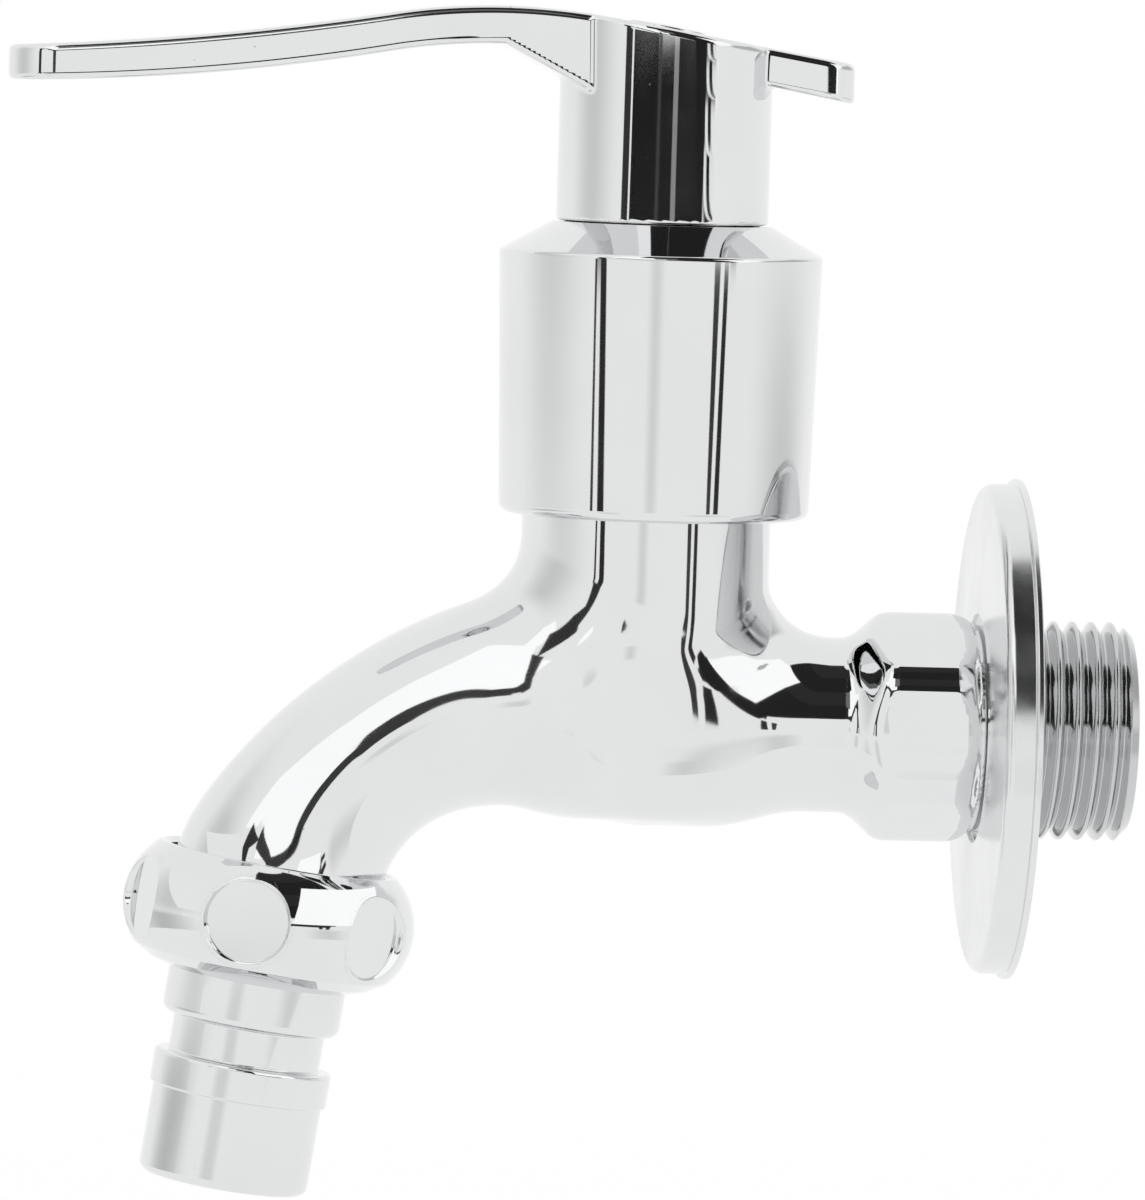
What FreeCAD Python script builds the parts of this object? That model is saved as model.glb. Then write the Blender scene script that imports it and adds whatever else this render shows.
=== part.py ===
import FreeCAD, Part
import math
import os

import Sketcher

# Washing machine tap, in millimetres.
# The origin is the middle of the inlet thread on the wall plane, at the back of the wall flange.
# +X runs along the inlet into the wall, the spout points to -X, and +Z is up along the valve axis.

SIZES = {
    # Places of the three axes
    "valve_reach": 35.1,
    "barrel_lead": 0.65,
    "outlet_drop": 19.3,
    "outlet_tilt": 8.3,
    # Running and assembly clearances
    "thread_gap": 0.05,
    "running_gap": 0.05,
    "slip_gap": 0.1,
    "loose_gap": 0.15,
    "handle_gap": 0.2,
    # Inlet side of the body
    "inlet_thread_r": 10.4775,
    "inlet_thread_end": 11.0,
    "inlet_thread_start": 1.0,
    "inlet_chamfer": 1.0,
    "collar_r": 10.8,
    "collar_width": 2.6,
    "hex_groove_r": 10.2,
    "hex_groove_width": 0.6,
    "hex_flats": 20.0,
    "hex_turned_r": 11.15,
    "hex_width": 8.5,
    "hex_round": 1.8,
    "flare_length": 3.7,
    "arm_r": 8.35,
    # Barrel of the body
    "barrel_r": 11.85,
    "barrel_top": 26.0,
    "belly_drop": 9.25,
    "belly_round": 5.5,
    "arm_blend_share": 0.8,
    "spout_blend": 5.5,
    # Spout of the body: its sections at the root, throat, neck, bend and foot, each a step from the last
    "root_step": 3.65,
    "root_rise": 1.8,
    "root_r": 10.2,
    "throat_step": 10.5,
    "throat_rise": 1.3,
    "throat_tilt": 8.0,
    "throat_r": 10.2,
    "neck_step": 6.1,
    "neck_drop": 0.6,
    "neck_tilt": 20.0,
    "neck_section_r": 9.1,
    "bend_step": 5.7,
    "bend_drop": 4.0,
    "bend_tilt": 39.0,
    "bend_r": 8.45,
    "foot_step": 4.3,
    "foot_drop": 8.5,
    "foot_tilt": 62.0,
    "foot_r": 8.95,
    "outlet_step": 4.6,
    "spout_end_length": 5.0,
    "spout_end_r": 10.0,
    "outlet_thread_r": 10.4775,
    "outlet_thread_length": 4.6,
    "outlet_chamfer": 0.8,
    # Waterways of the body
    "inlet_bore_r": 6.0,
    "inlet_bore_end": 12.0,
    "passage_start_r": 5.2,
    "passage_r": 4.2,
    "passage_drop": 3.0,
    "passage_overrun": 3.6,
    "seat_rise": 3.0,
    "seat_r": 3.9,
    "chamber_r": 8.6,
    "chamber_top": 14.0,
    "port_step": 5.65,
    "port_rise": 7.4,
    "port_tilt": 15.0,
    "port_r": 3.9,
    "channel_rise": 1.6,
    "channel_r": 5.0,
    "outlet_bore_r": 6.6,
    "spout_wall": 2.9,
    # Headwork
    "head_thread_r": 8.33,
    "housing_nose_r": 7.3,
    "ring_seat_r": 10.05,
    "ring_seat_depth": 1.6,
    "head_flange_r": 11.2,
    "head_flange_height": 2.5,
    "head_hex_flats": 17.0,
    "head_hex_height": 6.5,
    "shoulder_r": 7.4,
    "neck_r": 6.0,
    "housing_top": 47.4,
    "window_half_width": 3.5,
    "window_height": 4.3,
    "head_ring_wire_r": 0.78,
    # Ceramic discs and seat seal
    "disc_r": 6.6,
    "disc_height": 3.0,
    "port_inner": 1.4,
    "port_outer": 5.0,
    "port_inner_half": 0.8,
    "port_outer_half": 3.0,
    "recess_depth": 0.8,
    "slot_half_width": 1.6,
    "slot_depth": 1.8,
    "key_half_width": 1.2,
    "key_depth": 0.7,
    "seal_height": 2.0,
    "seal_inner_r": 4.4,
    "stiffener_inner_r": 5.1,
    "stiffener_outer_r": 5.9,
    "stiffener_height": 1.1,
    # Spindle and its small parts
    "stem_r": 4.0,
    "foot_height": 3.0,
    "tang_half_width": 1.5,
    "foot_disc_r": 6.5,
    "tang_reach": 5.4,
    "groove_r": 3.0,
    "groove_width": 1.5,
    "lower_groove": 22.0,
    "groove_pitch": 5.0,
    "ring_wire_r": 0.5,
    "washer_height": 0.7,
    "clip_groove_r": 3.4,
    "clip_groove_width": 0.9,
    "clip_thickness": 0.8,
    "clip_outer_r": 5.3,
    "clip_mouth": 4.6,
    "spline_rise": 2.8,
    "spindle_rise": 9.6,
    "spline_depth": 0.4,
    "spline_teeth": 20,
    # Bonnet cover and its nut
    "cover_bottom": 19.6,
    "cover_bottom_r": 14.75,
    "cover_shoulder_drop": 2.85,
    "cover_shoulder_r": 15.4,
    "cover_top_r": 10.4,
    "cover_wall": 1.3,
    "cover_rim_round": 1.0,
    "recess_r": 9.3,
    "cover_recess_depth": 2.2,
    "cover_web": 1.5,
    "cover_nut_flats": 14.0,
    "cover_nut_height": 2.0,
    # Handle: hub, lever and tail
    "hub_r": 10.1,
    "hub_cavity_r": 8.7,
    "hub_cavity_height": 2.6,
    "hub_web": 2.7,
    "blank_rise": 22.6,
    "lever_half_width": 6.8,
    "lever_tip_reach": 62.4,
    "lever_tip_round": 4.5,
    "lever_thickness": 3.6,
    "underside_radius": 215.0,
    "tip_thickness": 3.3,
    "tip_rise": 15.2,
    "tip_tilt": 3.0,
    "rise_radius": 295.0,
    "rise_angle": 7.0,
    "crest_radius": 62.0,
    "crest_angle": 19.2,
    "cut_margin": 2.0,
    "root_tilt": 27.5,
    "tail_half_width": 4.6,
    "tail_reach": 17.8,
    "tail_thickness": 3.4,
    "tail_end_thickness": 3.8,
    "tail_end_round": 3.2,
    "top_edge_round": 0.6,
    # Handle screw and cap
    "screw_r": 2.0,
    "screw_length": 11.0,
    "screw_head_r": 3.5,
    "screw_head_height": 2.2,
    "screw_recess_r": 1.2,
    "screw_recess_depth": 1.3,
    "cap_r": 3.65,
    "cap_depth": 2.2,
    "cap_proud": 0.4,
    "cap_side_proud": 0.1,
    # Wall flange
    "flange_r": 23.9,
    "flange_depth": 3.4,
    "flange_sheet": 0.6,
    "flange_dome": 0.3,
    "flange_dome_r": 180.0,
    "flange_corner": 0.9,
    "flange_draft": 0.1,
    "flange_lip": 0.45,
    "flange_lip_width": 0.6,
    # Outlet nut
    "nut_top": 5.4,
    "nut_top_r": 11.35,
    "nut_mouth_r": 10.95,
    "nut_mouth_depth": 0.45,
    "nut_side_round": 7.4,
    "nut_shoulder_drop": 4.5,
    "nut_shoulder_r": 12.4,
    "nut_foot_drop": 5.5,
    "nut_foot_r": 10.8,
    "nut_bottom": 6.25,
    "nut_web": 2.15,
    "nut_hole_r": 8.65,
    "dimple_r": 4.2,
    "dimple_floor": 12.6,
    "dimple_clear": 2.0,
    "dimple_count": 6,
    "dimple_angle": 12.0,
    # Hose nozzle and gasket
    "gasket_height": 2.0,
    "gasket_r": 9.7,
    "nozzle_bore_r": 5.6,
    "nozzle_flange_r": 9.9,
    "nozzle_flange_height": 1.95,
    "nozzle_body_r": 8.5,
    "nozzle_body_end": 10.6,
    "nozzle_neck_r": 7.25,
    "nozzle_neck_length": 3.5,
    "nozzle_ring_length": 3.3,
    "nozzle_tube_r": 8.1,
    "nozzle_tube_length": 8.6,
    "nozzle_edge_round": 0.9,
}


class Size:
    """A length or angle that carries its number and the sheet formula behind it."""

    def __init__(self, value, text):
        self.value = float(value)
        self.text = text

    def __add__(self, other):
        other = as_size(other)
        return Size(self.value + other.value, "(%s + %s)" % (self.text, other.text))

    def __sub__(self, other):
        other = as_size(other)
        return Size(self.value - other.value, "(%s - %s)" % (self.text, other.text))

    def __mul__(self, other):
        other = as_size(other)
        return Size(self.value * other.value, "(%s * %s)" % (self.text, other.text))

    def __truediv__(self, other):
        other = as_size(other)
        return Size(self.value / other.value, "(%s / %s)" % (self.text, other.text))

    def __neg__(self):
        return Size(-self.value, "(0 - %s)" % self.text)

    def __radd__(self, other):
        return as_size(other) + self

    def __rsub__(self, other):
        return as_size(other) - self

    def __rmul__(self, other):
        return as_size(other) * self


def as_size(number):
    if isinstance(number, Size):
        return number
    return Size(number, repr(float(number)))


def sine(angle):
    return Size(math.sin(math.radians(angle.value)), "sin(%s * 1 deg)" % angle.text)


def cosine(angle):
    return Size(math.cos(math.radians(angle.value)), "cos(%s * 1 deg)" % angle.text)


class SheetSizes:
    """The driving sizes as attributes, each bound to its cell."""

    def __init__(self, values):
        for name, value in values.items():
            setattr(self, name, Size(value, "sizes." + name))


def make_sheet(doc, values):
    sheet = doc.addObject("Spreadsheet::Sheet", "sizes")
    for row, (name, value) in enumerate(values.items(), start=1):
        sheet.set("A%d" % row, name.replace("_", " "))
        sheet.set("B%d" % row, str(value))
        sheet.setAlias("B%d" % row, name)
    doc.recompute()
    return sheet


doc = FreeCAD.newDocument("washing_machine_tap")
sheet = make_sheet(doc, SIZES)
s = SheetSizes(SIZES)
ROOT3 = math.sqrt(3.0)
FULL_TURN = 360


# General helpers for bodies, outlines and features

Y_DIRECTION = FreeCAD.Vector(0, 1, 0)
Z_DIRECTION = FreeCAD.Vector(0, 0, 1)


def bind(obj, prop, size):
    obj.setExpression(prop, as_size(size).text)


def origin_feature(body, role):
    return next(f for f in body.Origin.OriginFeatures if f.Role == role)


def new_body(name, reach=0, rise=0, tilt=0, turn=0):
    """A body whose own origin stands in front of the wall by reach, at height rise.

    Its upright axis leans by tilt in the plane of the spout, after a turn about itself."""
    body = doc.addObject("PartDesign::Body", name)
    body.Label = name
    lean = FreeCAD.Rotation(Y_DIRECTION, as_size(tilt).value)
    spin = FreeCAD.Rotation(Z_DIRECTION, as_size(turn).value)
    body.Placement = FreeCAD.Placement(FreeCAD.Vector(), lean * spin)
    bind(body, "Placement.Base.x", -as_size(reach))
    bind(body, "Placement.Base.z", as_size(rise))
    return body


def new_sketch(body, name, role="XZ_Plane", offset=(0, 0, 0), turn=None):
    """A sketch on an origin plane, moved by offset and turned by (direction, angle) in it."""
    sketch = body.newObject("Sketcher::SketchObject", name)
    sketch.AttachmentSupport = [(origin_feature(body, role), "")]
    sketch.MapMode = "FlatFace"
    places = [as_size(part) for part in offset]
    direction, angle = turn or (Z_DIRECTION, as_size(0))
    sketch.AttachmentOffset = FreeCAD.Placement(
        FreeCAD.Vector(*[place.value for place in places]),
        FreeCAD.Rotation(direction, angle.value))
    for letter, place in zip("xyz", places):
        bind(sketch, "AttachmentOffset.Base." + letter, place)
    return sketch


def hold(sketch, kind, index, point, size):
    """Tie one coordinate of a point, or one radius, to its size."""
    size = as_size(size)
    if kind == "Radius":
        rule = Sketcher.Constraint(kind, index, size.value)
    else:
        rule = Sketcher.Constraint(kind, -1, 1, index, point, size.value)
    bind(sketch, "Constraints[%d]" % sketch.addConstraint(rule), size)


def arc_between(start, end, radius, side):
    """The arc from start to end, with its centre on the left of the way for side 1."""
    chord = end - start
    height = math.sqrt(max(radius * radius - chord.Length * chord.Length / 4, 0))
    left = FreeCAD.Vector(-chord.y, chord.x, 0).normalize()
    centre = (start + end) / 2 + left * (height * side)
    turns = [math.atan2(p.y - centre.y, p.x - centre.x) for p in (start, end)]
    circle = Part.Circle(centre, Z_DIRECTION, radius)
    if side < 0:
        turns.reverse()
    return Part.ArcOfCircle(circle, turns[0], turns[1])


def draw_outline(sketch, points):
    """A closed outline; a point is (x, y), or (x, y, radius, side) to reach it by an arc."""
    corners = [(as_size(p[0]), as_size(p[1])) for p in points]
    places = [FreeCAD.Vector(x.value, y.value, 0) for x, y in corners]
    first = sketch.GeometryCount
    count = len(points)
    ends = []
    for i in range(count):
        j = (i + 1) % count
        arc = points[j][2:]
        if arc:
            sketch.addGeometry(
                arc_between(places[i], places[j], as_size(arc[0]).value, arc[1]), False)
            ends.append((1, 2) if arc[1] > 0 else (2, 1))
        else:
            sketch.addGeometry(Part.LineSegment(places[i], places[j]), False)
            ends.append((1, 2))
    for i in range(count):
        j = (i + 1) % count
        sketch.addConstraint(
            Sketcher.Constraint("Coincident", first + i, ends[i][1], first + j, ends[j][0]))
    for i, (x, y) in enumerate(corners):
        hold(sketch, "DistanceX", first + i, ends[i][0], x)
        hold(sketch, "DistanceY", first + i, ends[i][0], y)
        arc = points[(i + 1) % count][2:]
        if arc:
            hold(sketch, "Radius", first + i, None, arc[0])


def draw_circle(sketch, radius, x=0, y=0):
    radius, x, y = as_size(radius), as_size(x), as_size(y)
    centre = FreeCAD.Vector(x.value, y.value, 0)
    index = sketch.addGeometry(Part.Circle(centre, Z_DIRECTION, radius.value), False)
    hold(sketch, "Radius", index, None, radius)
    hold(sketch, "DistanceX", index, 3, x)
    hold(sketch, "DistanceY", index, 3, y)


def turned(body, name, draw, axis="V_Axis", cut=False, offset=(0, 0, 0), turn=None):
    """Turn what draw(sketch) draws about its sketch's upright axis, or about the level one."""
    sketch = new_sketch(body, name + "_outline", "XZ_Plane", offset, turn)
    draw(sketch)
    feature = body.newObject("PartDesign::Groove" if cut else "PartDesign::Revolution", name)
    feature.Profile = sketch
    feature.ReferenceAxis = (sketch, [axis])
    feature.Angle = FULL_TURN
    return feature


def extruded(body, name, role, low, high, draw, cut=False):
    """Pad or pocket what draw(sketch) draws, from level low to level high off the plane."""
    low, high = as_size(low), as_size(high)
    sketch = new_sketch(body, name + "_outline", role, (0, 0, (low + high) / 2))
    draw(sketch)
    feature = body.newObject("PartDesign::Pocket" if cut else "PartDesign::Pad", name)
    feature.Profile = sketch
    feature.Midplane = True
    bind(feature, "Length", high - low)
    return feature


def outline(points):
    return lambda sketch: draw_outline(sketch, points)


def circle(radius, x=0, y=0):
    return lambda sketch: draw_circle(sketch, radius, x, y)


def outside(points, radius):
    """Everything between an outline and a circle round it."""
    def draw(sketch):
        draw_circle(sketch, radius)
        draw_outline(sketch, points)
    return draw


def hexagon(flats):
    """Corners of a hexagon with two corners on the sketch's upright axis."""
    side = flats / 2
    corner = flats / ROOT3
    half = corner / 2
    return [(0, corner), (-side, half), (-side, -half), (0, -corner), (side, -half), (side, half)]


def rectangle(x_low, x_high, y_low, y_high):
    return [(x_low, y_low), (x_high, y_low), (x_high, y_high), (x_low, y_high)]


def repeat_round(body, name, feature, count):
    """Copies of a feature round the body's upright axis."""
    pattern = body.newObject("PartDesign::PolarPattern", name)
    pattern.Originals = [feature]
    pattern.Axis = (origin_feature(body, "Z_Axis"), [""])
    pattern.Angle = FULL_TURN
    bind(pattern, "Occurrences", count)
    body.Tip = pattern
    return pattern


def rounded(body, name, radius, wanted):
    """Round the edges of the body so far for which wanted(edge) is true."""
    doc.recompute()
    base = body.Tip
    picked = ["Edge%d" % (i + 1) for i, edge in enumerate(base.Shape.Edges) if wanted(edge)]
    if not picked:
        raise RuntimeError("no edge found for " + name)
    feature = body.newObject("PartDesign::Fillet", name)
    feature.Base = (base, picked)
    bind(feature, "Radius", radius)
    return feature


def ring_at(radius, level):
    """Picks the circle of this radius at this level."""
    def wanted(edge):
        if not isinstance(edge.Curve, Part.Circle):
            return False
        height = edge.Curve.Center.z
        return abs(edge.Curve.Radius - radius.value) < 1e-4 and abs(height - level.value) < 1e-4
    return wanted


def new_part(kind, name, **sizes):
    """A part primitive whose named properties are bound to sizes."""
    part = doc.addObject(kind, name)
    part.Label = name
    for prop, size in sizes.items():
        bind(part, prop, size)
    return part


def new_cylinder(name, radius, low, high, reach=0, rise=0, tilt=0):
    """A cylinder along an upright or leaning axis, from low to high above that axis's origin."""
    part = new_part("Part::Cylinder", name, Radius=radius, Height=high - low)
    lean = FreeCAD.Rotation(Y_DIRECTION, as_size(tilt).value)
    part.Placement = FreeCAD.Placement(FreeCAD.Vector(), lean)
    bind(part, "Placement.Base.x", sine(as_size(tilt)) * low - reach)
    bind(part, "Placement.Base.z", cosine(as_size(tilt)) * low + rise)
    return part


def new_loft(name, places):
    """A loft through round sections; a place is (reach, rise, tilt, radius)."""
    rings = []
    for i, (reach, rise, tilt, radius) in enumerate(places):
        ring = new_part("Part::Circle", "%s_ring_%d" % (name, i + 1), Radius=radius)
        ring.Placement = FreeCAD.Placement(
            FreeCAD.Vector(), FreeCAD.Rotation(-Y_DIRECTION, 90 + as_size(tilt).value))
        bind(ring, "Placement.Base.x", -as_size(reach))
        bind(ring, "Placement.Base.z", as_size(rise))
        bind(ring, "Placement.Rotation.Angle", 90 + as_size(tilt))
        rings.append(ring)
    loft = doc.addObject("Part::Loft", name)
    loft.Sections = rings
    loft.Solid = True
    return loft


def joined(name, parts):
    fuse = doc.addObject("Part::MultiFuse", name)
    fuse.Shapes = parts
    return fuse


def group_of(name, parts):
    """Separate solids that share one node."""
    group = doc.addObject("Part::Compound", name)
    group.Label = name
    group.Links = parts
    return group


# Levels in the headwork, upwards from the arm's axis

seal_top = s.seat_rise + s.seal_height
fixed_top = seal_top + s.disc_height
moving_top = fixed_top + s.disc_height
foot_bottom = moving_top + s.slip_gap
foot_top = foot_bottom + s.foot_height
washer_bottom = foot_top + s.running_gap
washer_top = washer_bottom + s.washer_height
housing_shoulder = washer_top + s.running_gap
housing_bottom = s.seat_rise + s.slip_gap * 6
housing_bore_r = s.disc_r + s.slip_gap
neck_bore_r = s.stem_r + s.running_gap
flange_top = s.barrel_top + s.head_flange_height
head_hex_top = flange_top + s.head_hex_height
cover_shoulder = s.housing_top - s.cover_shoulder_drop
recess_floor = s.housing_top - s.cover_recess_depth
web_bottom = recess_floor - s.cover_web
hub_bottom = s.housing_top + s.handle_gap
cavity_top = hub_bottom + s.hub_cavity_height
spline_start = s.housing_top + s.spline_rise
spindle_top = s.housing_top + s.spindle_rise
socket_top = spindle_top + s.slip_gap
tip_height = s.housing_top + s.tip_rise
blank_height = s.housing_top + s.blank_rise
screw_seat = socket_top + s.hub_web

# Levels along the outlet, upwards from the spout's end face

nozzle_flange_top = -s.gasket_height
nozzle_flange_bottom = nozzle_flange_top - s.nozzle_flange_height
nut_ledge = s.nut_web - s.nut_bottom
nozzle_neck_top = -s.nozzle_body_end
nozzle_ring_top = nozzle_neck_top - s.nozzle_neck_length
nozzle_tube_top = nozzle_ring_top - s.nozzle_ring_length
nozzle_end = nozzle_tube_top - s.nozzle_tube_length

# Stations along the inlet, from the wall plane

collar_back = -s.inlet_thread_start
collar_front = collar_back - s.collar_width
hex_back = collar_front - s.hex_groove_width
hex_front = hex_back - s.hex_width
flare_front = hex_front - s.flare_length

# Reaches of the barrel, the spout's sections and the outlet, out from the wall plane

barrel_reach = s.valve_reach + s.barrel_lead
port_reach = barrel_reach + s.port_step
root_reach = barrel_reach + s.root_step
throat_reach = root_reach + s.throat_step
neck_reach = throat_reach + s.neck_step
bend_reach = neck_reach + s.bend_step
foot_reach = bend_reach + s.foot_step
outlet_reach = foot_reach + s.outlet_step

# The blend from barrel to arm takes a share of the bare arm between them

arm_blend = (barrel_reach - s.barrel_r + flare_front) * s.arm_blend_share

# Curve of the handle's top, from the lever's tip to the tail, seen from the front

rise_end_slope = s.tip_tilt + s.rise_angle
fall_slope = s.crest_angle - rise_end_slope
tip_top = (-s.lever_tip_reach, tip_height)
rise_end = (
    tip_top[0] + s.rise_radius * (sine(rise_end_slope) - sine(s.tip_tilt)),
    tip_top[1] + s.rise_radius * (cosine(s.tip_tilt) - cosine(rise_end_slope)),
)
crest_end = (
    rise_end[0] + s.crest_radius * (sine(rise_end_slope) + sine(fall_slope)),
    rise_end[1] + s.crest_radius * (cosine(fall_slope) - cosine(rise_end_slope)),
)


def falling_top(x):
    """Height of the straight stretch of the handle's top at x from the valve axis."""
    return crest_end[1] - (x - crest_end[0]) * sine(fall_slope) / cosine(fall_slope)


handle_top = falling_top(as_size(0))
cap_floor = handle_top - s.cap_depth


# Body casting

def make_body_turnings():
    """Barrel, arm, hexagon, collar and both threads, each turned about its own axis."""
    body = new_body("body_turnings")
    turned(body, "inlet_turning", outline([
        (-barrel_reach, 0),
        (s.inlet_thread_end, 0),
        (s.inlet_thread_end, s.inlet_thread_r - s.inlet_chamfer),
        (s.inlet_thread_end - s.inlet_chamfer, s.inlet_thread_r),
        (collar_back, s.inlet_thread_r),
        (collar_back, s.collar_r),
        (collar_front, s.collar_r),
        (collar_front, s.hex_groove_r),
        (hex_back, s.hex_groove_r),
        (hex_back, s.hex_turned_r - s.hex_round / 2),
        (hex_back - s.hex_round, s.hex_turned_r),
        (hex_front + s.hex_round, s.hex_turned_r),
        (hex_front, s.hex_turned_r - s.hex_round / 2),
        (flare_front, s.arm_r),
        (-barrel_reach, s.arm_r),
    ]), "H_Axis")
    extruded(body, "hexagon", "YZ_Plane", hex_front, hex_back,
             outside(hexagon(s.hex_flats), s.hex_flats), cut=True)
    turned(body, "barrel", outline([
        (0, -s.belly_drop),
        (s.barrel_r - s.belly_round, -s.belly_drop),
        (s.barrel_r, s.belly_round - s.belly_drop, s.belly_round, 1),
        (s.barrel_r, s.barrel_top),
        (0, s.barrel_top),
    ]), offset=(-barrel_reach, 0, 0))
    return body


def spout_places():
    """Sections of the spout, from inside the barrel to the outlet thread."""
    end_reach = outlet_reach - s.spout_end_length * sine(s.outlet_tilt)
    end_drop = s.outlet_drop - s.spout_end_length * cosine(s.outlet_tilt)
    return [
        (root_reach, s.root_rise, 0, s.root_r),
        (throat_reach, s.throat_rise, s.throat_tilt, s.throat_r),
        (neck_reach, -s.neck_drop, s.neck_tilt, s.neck_section_r),
        (bend_reach, -s.bend_drop, s.bend_tilt, s.bend_r),
        (foot_reach, -s.foot_drop, s.foot_tilt, s.foot_r),
        (end_reach, -end_drop, 90 - s.outlet_tilt, s.spout_end_r),
    ]


def channel_places():
    """The same sections inside the spout's wall, with its own way out of the valve chamber."""
    places = spout_places()
    inner = [(reach, rise, tilt, radius - s.spout_wall)
             for reach, rise, tilt, radius in places[2:]]
    throat = (throat_reach, s.throat_rise + s.channel_rise, s.throat_tilt, s.channel_r)
    port = (port_reach, s.port_rise, s.port_tilt, s.port_r)
    return [port, throat] + inner


def is_barrel_seam(edge):
    """True for the curved edges where the arm and the spout run into the barrel."""
    if not isinstance(edge.Curve, Part.BSplineCurve):
        return False
    for point in edge.discretize(5):
        away = math.hypot(point.x + barrel_reach.value, point.y)
        if away > s.barrel_r.value + 1e-3:
            return False
    return True


def make_blended(name, base):
    """Fillets where the arm and the spout run into the barrel."""
    doc.recompute()
    edges = []
    for number, edge in enumerate(base.Shape.Edges, start=1):
        if is_barrel_seam(edge):
            towards_wall = edge.CenterOfMass.x > -barrel_reach.value
            radius = arm_blend.value if towards_wall else s.spout_blend.value
            edges.append((number, radius, radius))
    blend = doc.addObject("Part::Fillet", name)
    blend.Base = base
    blend.Edges = edges
    return blend


def make_waterways():
    """Everything that is bored or cored out of the casting."""
    body = new_body("body_bores")
    head_bore_r = s.head_thread_r + s.thread_gap
    ring_seat_bottom = s.barrel_top - s.ring_seat_depth
    above = s.barrel_top + s.cut_margin
    turned(body, "valve_bore", outline([
        (0, -s.passage_drop),
        (s.seat_r, -s.passage_drop),
        (s.seat_r, s.seat_rise),
        (s.chamber_r, s.seat_rise),
        (s.chamber_r, s.chamber_top),
        (head_bore_r, s.chamber_top),
        (head_bore_r, ring_seat_bottom),
        (s.ring_seat_r, ring_seat_bottom),
        (s.ring_seat_r, above),
        (0, above),
    ]), offset=(-s.valve_reach, 0, 0))
    inlet = new_part("Part::Cylinder", "inlet_bore", Radius=s.inlet_bore_r,
                     Height=s.inlet_thread_end + s.inlet_bore_end + s.cut_margin)
    inlet.Placement = FreeCAD.Placement(FreeCAD.Vector(), FreeCAD.Rotation(Y_DIRECTION, 90))
    bind(inlet, "Placement.Base.x", -s.inlet_bore_end)
    passage = new_loft("inlet_passage", [
        (s.inlet_bore_end - s.cut_margin, 0, 0, s.passage_start_r),
        (s.valve_reach + s.passage_overrun, -s.passage_drop, 0, s.passage_r),
    ])
    channel = new_loft("spout_channel", channel_places())
    outlet = new_cylinder("outlet_bore", s.outlet_bore_r, -s.cut_margin, s.spout_end_length,
                          outlet_reach, -s.outlet_drop, s.outlet_tilt)
    return joined("waterways", [body, inlet, passage, channel, outlet])


def make_outlet_end():
    body = new_body("outlet_end", outlet_reach, -s.outlet_drop, s.outlet_tilt)
    turned(body, "outlet_turning", outline([
        (0, 0),
        (s.outlet_thread_r - s.outlet_chamfer, 0),
        (s.outlet_thread_r, s.outlet_chamfer),
        (s.outlet_thread_r, s.outlet_thread_length),
        (s.spout_end_r, s.spout_end_length),
        (0, s.spout_end_length),
    ]))
    return body


def make_tap_body():
    spout = new_loft("spout", spout_places())
    casting = joined("casting", [make_body_turnings(), spout])
    blended = make_blended("blended_casting", casting)
    whole = joined("whole_casting", [blended, make_outlet_end()])
    tap_body = doc.addObject("Part::Cut", "tap_body")
    tap_body.Label = "tap_body"
    tap_body.Base = whole
    tap_body.Tool = make_waterways()
    return tap_body


# Headwork

def make_head_o_ring():
    body = new_body("head_o_ring", s.valve_reach)
    middle_r = (s.head_thread_r + s.ring_seat_r) / 2
    level = s.barrel_top - s.ring_seat_depth / 2
    turned(body, "ring", circle(s.head_ring_wire_r, middle_r, level))
    return body


def make_headwork_housing():
    body = new_body("headwork_housing", s.valve_reach)
    turned(body, "turning", outline([
        (housing_bore_r, housing_bottom),
        (s.housing_nose_r, housing_bottom),
        (s.housing_nose_r, s.chamber_top),
        (s.head_thread_r, s.chamber_top),
        (s.head_thread_r, s.barrel_top),
        (s.head_flange_r, s.barrel_top),
        (s.head_flange_r, flange_top),
        (s.head_hex_flats / ROOT3, flange_top),
        (s.head_hex_flats / ROOT3, head_hex_top),
        (s.shoulder_r, head_hex_top),
        (s.shoulder_r, web_bottom),
        (s.neck_r, web_bottom),
        (s.neck_r, s.housing_top),
        (neck_bore_r, s.housing_top),
        (neck_bore_r, housing_shoulder),
        (housing_bore_r, housing_shoulder),
    ]))
    extruded(body, "spanner_hexagon", "XY_Plane", flange_top, head_hex_top,
             outside(hexagon(s.head_hex_flats), s.head_hex_flats), cut=True)
    extruded(body, "windows", "XZ_Plane", -s.head_flange_r, s.head_flange_r, outline(rectangle(
        -s.window_half_width, s.window_half_width,
        fixed_top + s.slip_gap, fixed_top + s.window_height)), cut=True)
    for name, side in (("front_key", -1), ("back_key", 1)):
        inner = (s.disc_r - s.key_depth + s.slip_gap) * side
        outer = (housing_bore_r + s.slip_gap) * side
        low, high = (inner, outer) if side > 0 else (outer, inner)
        half = s.key_half_width - s.slip_gap
        extruded(body, name, "XY_Plane", seal_top, fixed_top - s.slip_gap,
                 outline(rectangle(low, high, -half, half)))
    return body


def ports(side):
    """A fan-shaped opening of a ceramic disc, on the side of +X or of -X."""
    return [
        (s.port_inner * side, -s.port_inner_half * side),
        (s.port_outer * side, -s.port_outer_half * side),
        (s.port_outer * side, s.port_outer_half * side),
        (s.port_inner * side, s.port_inner_half * side),
    ]


def quarter_turned(points):
    return [(-y, x) for x, y in points]


def make_disc(name, low):
    body = new_body(name, s.valve_reach)
    extruded(body, "blank", "XY_Plane", low, low + s.disc_height, circle(s.disc_r))
    return body


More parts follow.
